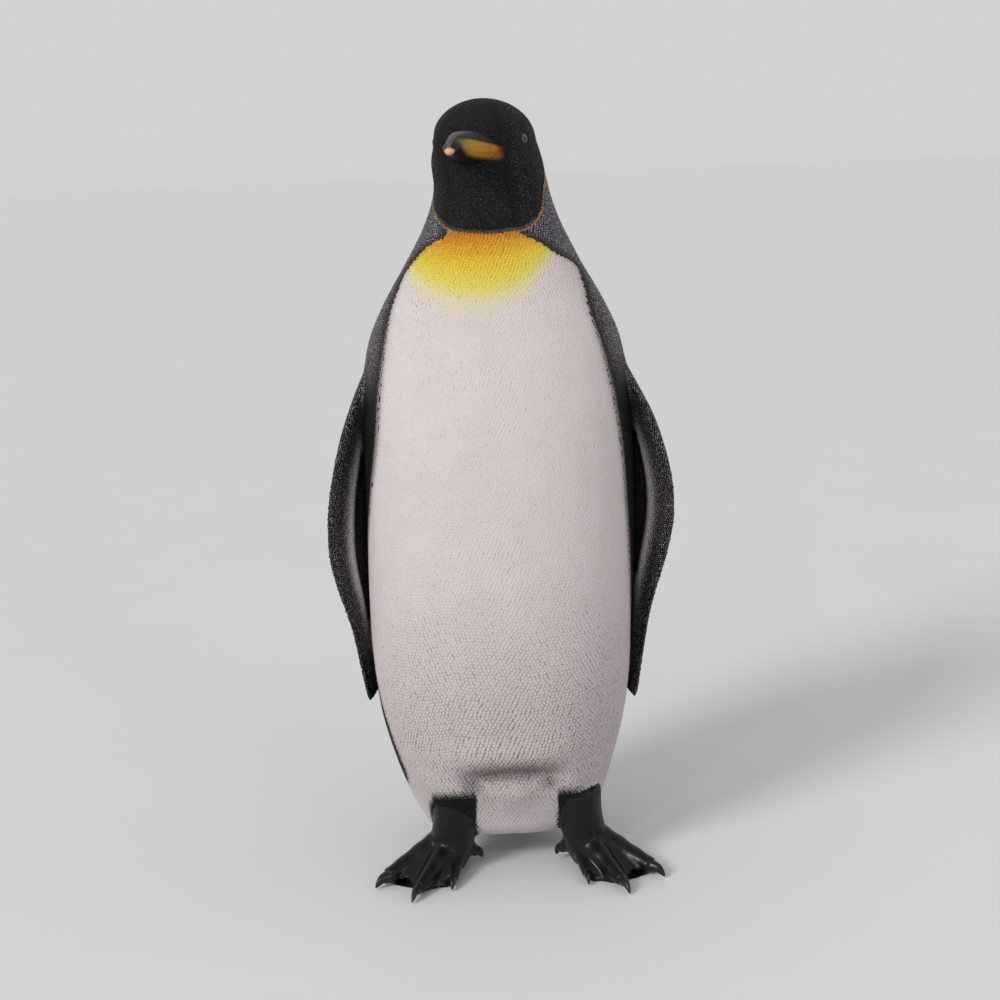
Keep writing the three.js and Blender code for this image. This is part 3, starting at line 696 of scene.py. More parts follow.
def leg_form(side):
    """Shank, toes and web of one side, flat where they meet the floor."""
    heights = np.linspace(0, LEG_SECTIONS[-1][0], SKIN["web_rings"])
    shares = np.linspace(0, 1, SKIN["web_rings"])
    parts = [wrapped(partial(leg_surface, side), heights, SKIN["limb_sides"])]
    parts += [wrapped(partial(toe_surface, side, toe), shares, SKIN["toe_sides"]) for toe in TOES.values()]
    parts.append(web_form(side))
    return joined([(floored(points), faces) for points, faces in parts])


def tree_of(form):
    """A search tree over a form's faces, in sculptor's millimetres."""
    points, faces = form
    return BVHTree.FromPolygons(points.tolist(), faces)


def distance_to(tree, points, reach):
    """How far each point is from a surface, up to a reach."""
    found = (tree.find_nearest(point, reach)[3] for point in points.tolist())
    return np.array([reach if far is None else far for far in found])


def relaxed(points, edges, weights, rounds):
    """Evens a surface out by moving each point toward the mean of its neighbours, by its weight."""
    first, second = edges.T
    many = len(points)
    neighbours = np.bincount(first, minlength=many) + np.bincount(second, minlength=many)
    pull = (weights / np.maximum(neighbours, 1))[:, None]
    for _ in range(rounds):
        total = np.stack([
            np.bincount(first, points[second, axis], many) + np.bincount(second, points[first, axis], many)
            for axis in range(3)
        ], 1)
        points = points + pull * total - weights[:, None] * points
    return points


def edges_of(mesh):
    """A mesh's edges as pairs of vertex numbers."""
    ends = np.empty(len(mesh.edges) * 2, np.int32)
    mesh.edges.foreach_get("vertices", ends)
    return ends.reshape(-1, 2)


def nearness_of_seams(points, trees):
    """1 where two forms meet, fading out over the blend's reach."""
    far = np.stack([distance_to(tree, points, SKIN["blend"] * 2) for tree in trees.values()])
    return bump(np.sort(far, axis=0)[1], SKIN["blend"])


def make_skin(forms, trees):
    """One skin over trunk, neck, head, flippers, tail, legs and feet."""
    skin = make_piece("skin", *joined(forms.values()))
    remesh = skin.modifiers.new("one surface", "REMESH")
    remesh.mode = "VOXEL"
    remesh.voxel_size = SKIN["voxel"] * MM
    mesh = with_modifiers_applied(skin)
    points, edges = from_frame(points_of(mesh)), edges_of(mesh)
    points = relaxed(points, edges, np.full(len(points), SKIN["grain_pull"]), SKIN["grain_rounds"])
    seams = SKIN["blend_pull"] * nearness_of_seams(points, trees)
    points = relaxed(points, edges, seams, SKIN["blend_rounds"])
    mesh.vertices.foreach_set("co", in_frame(points).astype(np.float32).ravel())
    thin = skin.modifiers.new("fewer faces", "DECIMATE")
    mesh.update()
    thin.ratio = SKIN["triangles"] / (2 * len(mesh.polygons))
    mesh = with_modifiers_applied(skin)
    mesh.shade_smooth()
    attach(skin, "root")
    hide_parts("trunk", "neck", "head", "tail", *(
        f"{part}_{side}" for part in ("wing", "leg", "foot") for side in FLIPPERS
    ))
    return skin


# ---------------------------------------------------------------- markings


def above_leg(points):
    """How far each point is above the line where the coat ends on the legs."""
    return points[:, 2] - LEG_TOP["height"] + LEG_TOP["slope"] * points[:, 1]


def leg_columns(points):
    """The two upright columns in front of the legs that the leg paint reaches into."""
    height = np.clip(points[:, 2], 0, LEG_SECTIONS[-1][0])
    across = np.abs(np.abs(points[:, 0] - FEET_SHIFT) - leg_across(height)) / leg_width(height)
    return smooth_step(*CUFF["column"], across) * (points[:, 1] < 0)


def parts_at(points, trees):
    """Masks of where each point is: on a flipper, the tail or a leg, beside a leg, or in the painted shade
    between a flipper and the body.
    """
    reach = SKIN["blend"]
    far = {name: distance_to(tree, points, reach) for name, tree in trees.items()}
    trunk = far["trunk"]
    wing = np.minimum(far["flipper_left"], far["flipper_right"])
    leg = np.minimum(far["leg_left"], far["leg_right"])
    soft = LIMB_EDGE
    return {
        "wing": smooth_step(-soft, soft, trunk - wing),
        "tail": smooth_step(-soft, soft, trunk - far["tail"]),
        "leg": smooth_step(-soft, soft, np.minimum(trunk, far["tail"]) - leg)
        * smooth_step(LEG_TOP["soft"], -LEG_TOP["soft"], above_leg(points)),
        "by_leg": bump(leg, CUFF["reach"]),
        # Painted shade: near black where flipper and body lie close.
        "gap": GAP_SHADE["strength"] * smooth_step(reach, reach / 3, np.maximum(trunk, wing))
        * smooth_step(*GAP_SHADE["top"], points[:, 2]),
    }


hood_edge = smooth_line(HOOD_EDGE)
bib_edge = smooth_line(BIB_EDGE)
white_edge_right = smooth_line(WHITE_EDGE, 1)
white_edge_left = smooth_line(WHITE_EDGE, 2)


def ear_patch(around, height):
    """The teardrop behind each eye: a thin stem from the collar line that swells toward its top."""
    (low_bearing, low), (high_bearing, high) = EAR["start"], EAR["end"]
    start, end, arc = (np.radians(bearing) * EAR["girth"] for bearing in (low_bearing, high_bearing, around))
    run, climb = end - start, high - low
    share = np.clip(((arc - start) * run + (height - low) * climb) / (run**2 + climb**2), 0, 1)
    off = np.hypot(arc - start - share * run, height - low - share * climb)
    radius = EAR["stem"] + (EAR["head"] - EAR["stem"]) * share ** EAR["swell"]
    return smooth_step(EAR["soft"], -EAR["soft"], off - radius)


def collar_line(around, above):
    """The thin orange line under the hood's edge, from the bib round to the ear patch."""
    line = bump(above + HOOD["collar_drop"], HOOD["collar"])
    return line * smooth_step(*HOOD["collar_start"], around) * smooth_step(*HOOD["collar_end"], around)


def grey_of_back(around, height):
    """How blue-grey the dark plumage is: less at the sides than on the back, and least on the rump."""
    side = smooth_step(*GREY["side"], height)
    back = GREY["rump"] + (1 - GREY["rump"]) * smooth_step(*GREY["back"], height)
    return side + (back - side) * smooth_step(*GREY["back_bearing"], around)


def markings(points, parts, sunk=0.0):
    """The paint's masks. Sunk is how far, in millimetres, dark paint creeps into hollows at its edges."""
    height = points[:, 2]
    leftward, ahead = in_section(points)
    bearing = np.degrees(np.arctan2(leftward, ahead))
    around = np.abs(bearing)
    limb = np.maximum(parts["wing"], parts["tail"])
    edge = np.where(bearing > 0, white_edge_left(height), white_edge_right(height))
    inside = np.radians(edge - around) * half_width(height) - sunk
    above = height - hood_edge(np.abs(bearing - HOOD["turn"] * smooth_step(*HOOD["turned"], around)))
    hood = smooth_step(-HOOD["soft"], HOOD["soft"], above + sunk / 2) * (1 - limb)
    soft = WHITE["soft"] + WHITE["softer"] * smooth_step(*WHITE["softens"], height)
    white = smooth_step(-soft, soft, inside) * (1 - limb) * (1 - parts["leg"])
    bottom = bib_edge(bearing)
    bib = (height - bottom) / (BIB_TOP - bottom)
    yellow = smooth_step(*SATIN["yellow_bib"], bib) * white
    border = bump(np.minimum(inside, 0), WHITE["border"])
    grey = grey_of_back(around, height) * (1 - border) * (1 - limb)
    grey = np.maximum(grey, GREY["flipper"] * parts["wing"])
    satin = np.maximum(SATIN["grey"] * grey * (1 - white), SATIN["flipper"] * parts["wing"])
    satin = np.maximum(satin, SATIN["yellow"] * yellow) * (1 - SATIN["hood_loss"] * hood)
    # Painted shade, with some dirt, in the belly's fold and in the dimples at its ends.
    fold = np.maximum(band(FOLD_SHADE_AND_DIRT, leftward, height), mounds(DIMPLE_SHADE, leftward, height))
    # The white made darker along its border with the black.
    border_darkening = WHITE["edge_stain"] * bump(inside, WHITE["stain_reach"]) * (1 - hood)
    cuff = np.maximum(parts["by_leg"], leg_columns(points)) * smooth_step(*CUFF["height"], above_leg(points))
    return {
        "white": white,
        "bib": np.clip(bib, -1, 1) * white,
        "hood": hood,
        "ear": np.maximum(ear_patch(around, height), collar_line(around, above)) * (1 - limb),
        "rim": bump(above - HOOD["rim"] / 2, HOOD["rim"]) * smooth_step(*HOOD["rim_bearing"], around),
        "grey": grey,
        "sheen": sheen_on_flippers(points) * parts["wing"],
        "satin": satin * (1 - parts["leg"]) * (1 - parts["gap"]),
        "gap": parts["gap"],
        "plate": bill_masks(points)["plate"] * (height > BIB_TOP) * (leftward > 0),
        "gloss": parts["leg"],
        "cuff": cuff * (1 - limb),
        "stain": np.maximum(fold * (ahead > 0), border_darkening) * (1 - limb),
        # Painted shade in the bead hollows of the lower belly, fading out at the hem.
        "wash": smooth_step(*LOW_BELLY_SHADE["belly"], height) * smooth_step(*LOW_BELLY_SHADE["hem"], height) * (1 - limb),
    }


def sheen_on_flippers(points):
    """A painted highlight along the ridge of each flipper's inner face."""
    sheen = np.zeros(len(points))
    for flipper in FLIPPERS.values():
        share = np.clip((SHOULDER_HEIGHT - points[:, 2]) / (SHOULDER_HEIGHT - flipper["tip_height"]), 0, 1)
        ridge = flipper_surface(flipper, share, np.full(len(points), RIDGE["angle"]))
        near = bump(np.linalg.norm(points - ridge, axis=1), RIDGE["sheen"])
        near *= smooth_step(*SHEEN["top"], share) * smooth_step(*SHEEN["tip"], share)
        sheen = np.maximum(sheen, near)
    return sheen


# ---------------------------------------------------------------- the beaded coat


def bead_form(sides, domed):
    """One closed bead of radius and height 1: points, triangles, rise, and which triangles are smooth."""
    turns = np.arange(sides) * 2 * math.pi / sides
    ring = np.column_stack([np.cos(turns), np.sin(turns), np.zeros(sides)])
    rings = [ring + (0, 0, -BEAD["root"])]
    if domed:
        rings.append(ring * (BEAD["waist"], BEAD["waist"], 0) + (0, 0, BEAD["shoulder"]))
        rings[1][:, 1] += BEAD["lean"] / 2
    points = np.concatenate([*rings, [(0, BEAD["lean"], 1)]])
    here = np.arange(sides)
    after = (here + 1) % sides
    top, crown = (len(rings) - 1) * sides, len(points) - 1
    triangles = [np.column_stack([top + here, top + after, np.full(sides, crown)])]
    if domed:
        triangles.append(np.column_stack([here, after, sides + after]))
        triangles.append(np.column_stack([here, sides + after, sides + here]))
    under = np.column_stack([np.zeros(sides - 2, int), here[2:], here[1:-1]])
    rounded_off = np.repeat([True, False], [sum(map(len, triangles)), len(under)])
    rise = np.clip(points[:, 2], 0, 1)
    return points, np.concatenate([*triangles, under]), rise, rounded_off


def rows_over(surface, stations, pitch_at, sides=360):
    """Places in staggered rows over a closed surface: points, the way down the coat, and map places."""
    angles = np.linspace(-math.pi, math.pi, sides + 1) + math.pi / 2
    middles = np.stack([surface(np.full(4, s), np.arange(4) * math.pi / 2) for s in stations])
    run = np.concatenate([[0], np.cumsum(np.linalg.norm(np.diff(middles, axis=0), axis=2).mean(1))])
    step = (stations[-1] - stations[0]) / len(stations)
    points, flows, places = [], [], []
    reached, row = pitch_at(stations[0]) / 2, 0
    while reached < run[-1]:
        station = np.interp(reached, run, stations)
        pitch = pitch_at(station)
        ring = surface(np.full(sides + 1, station), angles)
        arc = np.concatenate([[0], np.cumsum(np.linalg.norm(np.diff(ring, axis=0), axis=1))])
        middle, count = np.interp(math.pi / 2, angles, arc), max(int(arc[-1] / pitch), BEAD["fewest"])
        across = (np.arange(count) - count // 2 + 0.5 * (row % 2)) * arc[-1] / count
        across = across + random.uniform(-1, 1, count) * BEAD["wander"] * pitch
        down = np.full(count, reached) + random.uniform(-1, 1, count) * BEAD["wander"] * pitch
        for number, (sway, wave) in enumerate(DRIFT):
            down = down + sway * np.sin(2 * math.pi * across / wave + number)
            across = across + sway * np.sin(2 * math.pi * down / wave + 2 * number)
        turn = np.interp((across + middle) % arc[-1], arc, angles)
        at = np.interp(down, run, stations)
        here = surface(at, turn)
        points.append(here)
        flows.append(surface(at - step, turn) - here)
        places.append(np.column_stack([across, down]))
        reached += pitch * BEAD["row_gap"]
        row += 1
    return np.concatenate(points), np.concatenate(flows), np.concatenate(places)


class Ground:
    """The finished skin, for laying beads on."""

    def __init__(self, skin):
        mesh = skin.data
        mesh.calc_loop_triangles()
        self.corners = np.empty(len(mesh.loop_triangles) * 3, np.int32)
        mesh.loop_triangles.foreach_get("vertices", self.corners)
        self.corners = self.corners.reshape(-1, 3)
        self.points = from_frame(points_of(mesh))
        normals = np.empty(len(mesh.vertices) * 3, np.float32)
        mesh.vertex_normals.foreach_get("vector", normals)
        self.normals = normals.reshape(-1, 3)
        self.tree = BVHTree.FromPolygons(self.points.tolist(), self.corners.tolist())

    def under(self, points, reach):
        """The skin's nearest places and normals, and which points have any within reach."""
        found = [self.tree.find_nearest(point, reach) for point in points.tolist()]
        kept = np.array([hit[2] is not None for hit in found])
        places = np.array([hit[0] for hit in found if hit[2] is not None]).reshape(-1, 3)
        faces = np.array([hit[2] for hit in found if hit[2] is not None], int)
        return places, self.normals[self.corners[faces]].mean(1), kept


def unit(vectors):
    """The vectors at length 1."""
    return vectors / np.maximum(np.linalg.norm(vectors, axis=-1, keepdims=True), 1e-9)


def clear_of_face(points):
    """Which places are clear of the eyes and the bill."""
    clear = np.ones(len(points), bool)
    for side in (1, -1):
        clear &= np.linalg.norm(points - eye_middle(side), axis=1) > EYE["radius"] + BEAD["eye_room"]
    level = points.copy()
    level[:, 2] = EYE_HEIGHT
    leftward, ahead = in_section(level)
    across = leftward / bill_width(ahead)
    up = (points[:, 2] - bill_middle(ahead)) / bill_height(ahead)
    return clear & ((ahead < BILL_LINE[0][0]) | (np.hypot(across, up) > 1))


def off_trunk(parts):
    """Whether a place is on a flipper, a leg or the tail."""
    return np.maximum(np.maximum(parts["wing"], parts["leg"]), parts["tail"]) >= 0.5


# Which places each kind of bead covers.
def on_front(parts, masks):
    return ~off_trunk(parts) & (masks["white"] >= 0.5) & (masks["hood"] < 0.5)


def on_back(parts, masks):
    return ~off_trunk(parts) & (masks["white"] < 0.5) & (masks["hood"] < 0.5)


def on_head(parts, masks):
    return ~off_trunk(parts) & (masks["hood"] >= 0.5)


def on_flipper(parts, _):
    return parts["wing"] >= 0.5


def on_tail(parts, _):
    return (parts["tail"] >= 0.5) & (parts["leg"] < 0.5)


def lay_beads(name, kind, rows, ground, trees, keep, finish):
    """Lays beads on the skin in rows, as pieces that each stay under the export's face limit."""
    points, flows, places = rows
    roots, normals, kept = ground.under(points, BEAD["reach"])
    flows, places = flows[kept], places[kept]
    parts = parts_at(roots, trees)
    masks = markings(roots, parts)
    wanted = keep(parts, masks) & clear_of_face(roots)
    roots, normals, flows, places = roots[wanted], unit(normals[wanted]), flows[wanted], places[wanted]
    parts = {part: values[wanted] for part, values in parts.items()}
    along = unit(flows - normals * np.sum(flows * normals, 1)[:, None])
    across = np.cross(along, normals)
    many = len(roots)
    swing = random.normal(0, BEAD["swing"], many)[:, None]
    straight, aside = np.cos(swing), np.sin(swing)
    along, across = along * straight + across * aside, across * straight - along * aside
    size = kind["pitch"](roots[:, 2]) * random.uniform(1 - BEAD["uneven"], 1 + BEAD["uneven"], many)
    rise = kind["relief"](roots[:, 2]) * random.uniform(1 - BEAD["uneven"], 1 + BEAD["uneven"], many)
    form, triangles, form_rise, rounded_off = bead_form(kind["sides"], kind["domed"])
    half_across, half_along = BEAD["cover"] * size, BEAD["cover"] * size * kind["length"]
    limit = COAT_LIMIT // len(triangles)
    chunks = np.array_split(np.arange(many), -(-many // limit))
    for number, chunk in enumerate(chunks, 1):
        beads = (
            roots[chunk, None]
            + across[chunk, None] * (form[None, :, :1] * half_across[chunk, None, None])
            + along[chunk, None] * (form[None, :, 1:2] * half_along[chunk, None, None])
            + normals[chunk, None] * (form[None, :, 2:] * rise[chunk, None, None])
        )
        low, high = places[chunk].min(0), places[chunk].max(0)
        spots = BAKE["margin"] + (1 - 2 * BAKE["margin"]) * (places[chunk] - low) / (high - low)
        piece = bead_piece(f"{name}_{number}", beads, triangles, rounded_off, spots, form, finish)
        rises = np.tile(form_rise, len(chunk))
        here = {part: np.repeat(values[chunk], len(form)) for part, values in parts.items()}
        give_masks(piece, markings(beads.reshape(-1, 3), here, CREEP * (1 - rises)))
        give_masks(piece, {"rise": rises})


def bead_piece(name, beads, triangles, rounded_off, spots, form, finish):
    """One mesh of many beads. On its bake map each bead is a small patch at its root's place."""
    many, corners = beads.shape[:2]
    faces = (np.arange(many)[:, None, None] * corners + triangles).reshape(-1, 3)
    mesh = bpy.data.meshes.new(name)
    mesh.vertices.add(many * corners)
    mesh.vertices.foreach_set("co", in_frame(beads.reshape(-1, 3)).astype(np.float32).ravel())
    mesh.loops.add(faces.size)
    mesh.loops.foreach_set("vertex_index", faces.astype(np.int32).ravel())
    mesh.polygons.add(len(faces))
    mesh.polygons.foreach_set("loop_start", np.arange(0, faces.size, 3, dtype=np.int32))
    mesh.update(calc_edges=True)
    mesh.polygons.foreach_set("use_smooth", np.tile(rounded_off, many))
    patch = form[:, :2] * BAKE["patch"] / 2
    on_map = (spots[:, None] + patch[None]).reshape(-1, 2)[faces.ravel()]
    mesh.uv_layers.new(name="OFBake").data.foreach_set("uv", on_map.astype(np.float32).ravel())
    mesh.materials.append(finish)
    piece = bpy.data.objects.new(name, mesh)
    bpy.context.scene.collection.objects.link(piece)
    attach(piece, "root")
    return piece


# ---------------------------------------------------------------- paint


class Value:
    """A number that varies over a surface, for use in plain arithmetic."""

    def __init__(self, finish, socket):
        self.finish, self.socket = finish, socket

    def math(self, operation, *numbers):
        node = self.finish.node("ShaderNodeMath", {"operation": operation}, dict(enumerate(numbers)))
        return Value(self.finish, node.outputs[0])

    def __add__(self, other):
        return self.math("ADD", self, other)

    def __sub__(self, other):
        return self.math("SUBTRACT", self, other)

    def __rsub__(self, other):
        return self.math("SUBTRACT", other, self)

    def __mul__(self, other):
        return self.math("MULTIPLY", self, other)

    __radd__, __rmul__ = __add__, __mul__

    def clamped(self):
        return self.math("MAXIMUM", self.math("MINIMUM", self, 1.0), 0.0)


class Finish:
    """A procedural material in the making."""

    def __init__(self, name, **constants):
        self.material = bpy.data.materials.new(name)
        self.material.use_nodes = True
        self.tree = self.material.node_tree
        self.shader = self.tree.nodes["Principled BSDF"]
        for socket, number in constants.items():
            self.shader.inputs[socket.replace("_", " ")].default_value = number

    def node(self, kind, settings=None, sockets=None):
        """Adds a node: its settings first, then its sockets as values or links."""
        node = self.tree.nodes.new(kind)
        for setting, value in (settings or {}).items():
            setattr(node, setting, value)
        for socket, value in (sockets or {}).items():
            self.feed(node.inputs[socket], value)
        return node

    def feed(self, socket, value):
        """Links a varying value to a socket, or sets a constant on it."""
        if isinstance(value, Value):
            self.tree.links.new(value.socket, socket)
        else:
            socket.default_value = value

    def mask(self, name):
        """A mask that was stored on the mesh; 0 where it has none of that name."""
        return Value(self, self.node("ShaderNodeAttribute", {"attribute_name": name}).outputs["Fac"])

    def place(self):
        """The object's own places, in metres."""
        return Value(self, self.node("ShaderNodeTexCoord").outputs["Object"])

    def noise(self, scale, detail=2.0):
        """Noise over the object; scale is in features per metre."""
        sockets = {"Vector": self.place(), "Scale": scale, "Detail": detail}
        return Value(self, self.node("ShaderNodeTexNoise", None, sockets).outputs[0])

    def cells(self, scale):
        """Round cells over the object, highest in each cell's middle."""
        sockets = {"Vector": self.place(), "Scale": scale}
        return 1 - Value(self, self.node("ShaderNodeTexVoronoi", None, sockets).outputs["Distance"])

    def blend(self, share, low, high, kind="MIX"):
        """A colour between two colours, or one made with a Mix node's other ways."""
        settings = {"data_type": "RGBA", "blend_type": kind}
        node = self.node("ShaderNodeMix", settings, {0: share, 6: low, 7: high})
        return Value(self, node.outputs[2])

    def ramp(self, value, stops):
        """A colour by a number, through [position, colour] stops."""
        node = self.node("ShaderNodeValToRGB", None, {"Fac": value})
        line = node.color_ramp.elements
        while len(line) < len(stops):
            line.new(0.5)
        for element, (position, colour) in zip(line, stops):
            element.position, element.color = position, colour
        return Value(self, node.outputs[0])

    def surface(self, colour, roughness, relief=None, depth=0.0):
        """Connects what varies to the shader. Relief runs over 0 to 1 and is depth metres high."""
        self.feed(self.shader.inputs["Base Color"], colour)
        self.feed(self.shader.inputs["Roughness"], roughness)
        if relief is not None:
            bumps = self.node("ShaderNodeBump", None, {"Height": relief, "Distance": depth})
            self.feed(self.shader.inputs["Normal"], Value(self, bumps.outputs[0]))
        return self.material


def paint(red, green, blue):
    """A colour named by its screen values, 0 to 255, as the linear colour that shaders take."""
    def linear(value):
        share = value / 255
        return share / 12.92 if share <= 0.04045 else ((share + 0.055) / 1.055) ** 2.4
    return (linear(red), linear(green), linear(blue), 1.0)


# Painted light among these: shadow, the two colours that hollows are multiplied by and the near-black gap
# are painted shade; ridge and the lighter horn are painted highlights; grey is the back's colour and, on
# bead crowns only, a painted highlight.
PAINT = dict(
    white=paint(201, 193, 193), warm_white=paint(195, 184, 184), shadow=paint(92, 81, 80),
    hollow_shade_light=paint(244, 240, 238), hollow_shade_dark=paint(110, 108, 110), gap=paint(5, 5, 5),
    black=paint(12, 11, 12), grey=paint(128, 122, 130), ridge=paint(232, 222, 225), hood=paint(9, 8, 8),
    rim=paint(84, 76, 78), ear=paint(170, 116, 18), foot=paint(15, 14, 18), claw=paint(24, 23, 27),
    horn=paint(19, 16, 17), highlight_horn=paint(84, 77, 80), spot=paint(206, 158, 116),
    iris=paint(84, 75, 76), iris_dark=paint(58, 51, 52), pupil=paint(30, 26, 27),
    floor=paint(210, 210, 211), floor_far=paint(213, 213, 214),
)
BIB_COLOURS = [  # from white below the bib up to the orange under the hood
    (0.5, paint(202, 194, 152)), (0.6, paint(204, 190, 84)), (0.76, paint(204, 174, 40)),
    (0.92, paint(192, 134, 12)), (1.0, paint(176, 108, 8)),
]
PLATE_COLOURS = [  # from the mouth's corner to the tip
    (0.0, paint(84, 50, 10)), (0.2, paint(150, 90, 12)), (0.45, paint(172, 112, 18)),
    (0.65, paint(168, 126, 36)), (0.85, paint(146, 120, 56)), (1.0, paint(84, 72, 52)),
]


def plumage_paint(name, beaded):
    """The airbrushed coat, for the beads or for the skin between them, which is all hollow. Hollows are
    darkened as painted shade.

    Noise scales are in features per metre. A sprayed marking has the grain and hardness of its edge.
    """
    finish = Finish(name, Specular_IOR_Level=0.18, Coat_Roughness=0.2, Coat_IOR=2.0)
    white, bib, hood, ear, rim = map(finish.mask, ("white", "bib", "hood", "ear", "rim"))
    grey, sheen, satin, gap, gloss = map(finish.mask, ("grey", "sheen", "satin", "gap", "gloss"))
    cuff, stain, wash, plate, rise = map(finish.mask, ("cuff", "stain", "wash", "plate", "rise"))
    mottle, speckle = finish.noise(34.0, 3.0), finish.noise(420.0, 2.0)
    spray = speckle - 0.5
    over_rim = (rise - 0.55) * 0.5  # crowns take the paint from outside, hollows keep the dark one
    # The crowns of the beads, where lighter paint stands in for a painted highlight.
    crown = ((rise - 0.62) * 2.8 + spray * 1.4).clamped()

    def sprayed(mask, grain, hardness, held_back):
        """A mask with an airbrush's grainy edge."""
        return ((mask + spray * grain) * hardness - held_back).clamped()

    # The back's grey goes only on the bead crowns as a painted highlight, and their hollows stay black as
    # painted shade.
    back = finish.blend((grey * crown).clamped(), PAINT["black"], PAINT["grey"])
    # A painted highlight along each flipper's ridge.
    back = finish.blend((sheen * (0.7 + speckle * 0.6)).clamped(), back, PAINT["ridge"])
    front = finish.blend((mottle * 1.4 - 0.2).clamped(), PAINT["white"], PAINT["warm_white"])
    breast = finish.ramp((bib * 0.5 + 0.5 + spray * 0.06).clamped(), BIB_COLOURS)
    front = finish.blend(sprayed(bib + (mottle - 0.5) * 0.3, 0.5, 3.2, -0.9), front, breast)
    between = white * (1 - white) * 4.0
    edge = sprayed(white + over_rim * between * 1.4, 0.25, 1.3, 0.15)
    coat = finish.blend(edge, back, front)
    for share, colour in (
        # Painted shade: near black between flipper and body.
        (gap, PAINT["gap"]),
        # The hood's bead crowns are lifted a little toward the rim colour as a painted highlight.
        (sprayed(hood, 0.4, 1.6, 0.3), finish.blend(crown * 0.06, PAINT["hood"], PAINT["rim"])),
        (sprayed(ear, 0.9, 1.5, 0.35), PAINT["ear"]),
        (sprayed(rim, 1.2, 1.2, 0.2) * 0.8, PAINT["rim"]),
        # Painted shade in the belly's fold and dimples, with the fold's dirt, and in the bead hollows low on
        # the belly; also the white made darker along its border with the black.
        ((stain * (0.6 + 0.4 * mottle) + wash * (1 - rise) * edge).clamped(), PAINT["shadow"]),
        (sprayed(cuff * 1.9 - over_rim * 1.8, 0.4, 1.0, 0.4), PAINT["black"]),
        (plate, PLATE_COLOURS[1][1]),
        (gloss, PAINT["foot"]),
    ):
        coat = finish.blend(share, coat, colour)
    # Painted shade: the hollows of the beads, and all the skin between them, are multiplied by a darker
    # colour.
    ground = finish.blend(edge, PAINT["hollow_shade_dark"], PAINT["hollow_shade_light"])
    hollow = ((1 - rise) * (1 - gloss) * (0.85 if beaded else 1.0)).clamped()
    coat = finish.blend(hollow, coat, ground, "MULTIPLY")
    dark = 1 - edge
    roughness = 0.6 + (mottle - 0.5) * 0.16 - satin * 0.18 - gloss * 0.26 + spray * dark * 0.2
    grain = finish.noise(1500.0, 2.0) * (1 - gloss) * 0.35
    relief = grain + finish.cells(620.0) * dark * (1 - gloss) + finish.noise(70.0, 3.0) * gloss * 1.2
    wet = (satin * (speckle * 6.0 - 2.8) + gloss * 0.05).clamped()
    finish.feed(finish.shader.inputs["Coat Weight"], wet)
    return finish.surface(coat, roughness, relief, 0.0003)


def gloss_paint(name):
    """The thick black gloss of the claws, with the waves that a brush leaves."""
    finish = Finish(name, Specular_IOR_Level=0.3, Coat_Weight=0.12, Coat_Roughness=0.12)
    wave = finish.noise(90.0, 3.0)
    colour = finish.blend((wave * 1.6 - 0.5).clamped(), PAINT["foot"], PAINT["claw"])
    return finish.surface(colour, 0.3 + wave * 0.14, wave, 0.0004)


def bill_paint(name):
    """Satin black horn with the orange side plates and the pale spot at the tip."""
    finish = Finish(name, Specular_IOR_Level=0.3)
    plate, along, spot, worn = (finish.mask(mask) for mask in ("plate", "along", "spot", "worn"))
    streak = finish.noise(150.0, 3.0)
    # A painted highlight along the top of the horn.
    horn = finish.blend((worn * (0.4 + streak)).clamped(), PAINT["horn"], PAINT["highlight_horn"])
    inlay = finish.ramp((along + (streak - 0.5) * 0.25).clamped(), PLATE_COLOURS)
    colour = finish.blend(plate, horn, inlay)
    colour = finish.blend(spot, colour, PAINT["spot"])
    roughness = 0.44 - plate * 0.06 + (streak - 0.5) * 0.12
    return finish.surface(colour, roughness, finish.noise(500.0, 2.0) * 0.6 + streak, 0.0003)


def eye_glass(name):
    """A dull glass eye with a brown iris."""
    finish = Finish(name, Specular_IOR_Level=0.4, Coat_Weight=0.2, Coat_Roughness=0.1)
    iris, pupil = finish.mask("iris"), finish.mask("pupil")
    flecks = finish.noise(900.0, 3.0)
    brown = finish.blend(flecks, PAINT["iris_dark"], PAINT["iris"])
    colour = finish.blend(pupil, finish.blend(iris, PAINT["horn"], brown), PAINT["pupil"])
    return finish.surface(colour, 0.24 + flecks * 0.06)


def lid_paint(name):
    """The creased black skin round an eye."""
    finish = Finish(name, Specular_IOR_Level=0.15)
    crease = finish.noise(700.0, 2.0)
    colour = finish.blend(crease, PAINT["horn"], PAINT["hood"])
    return finish.surface(colour, 0.5 + crease * 0.1, crease, 0.0002)


def floor_finish(name):
    """The studio's pale floor, faintly cloudy."""
    finish = Finish(name)
    cloud = finish.noise(3.0, 2.0)
    return finish.surface(finish.blend(cloud, PAINT["floor"], PAINT["floor_far"]), 0.6 + cloud * 0.1)


# ---------------------------------------------------------------- bill, eyes and claws


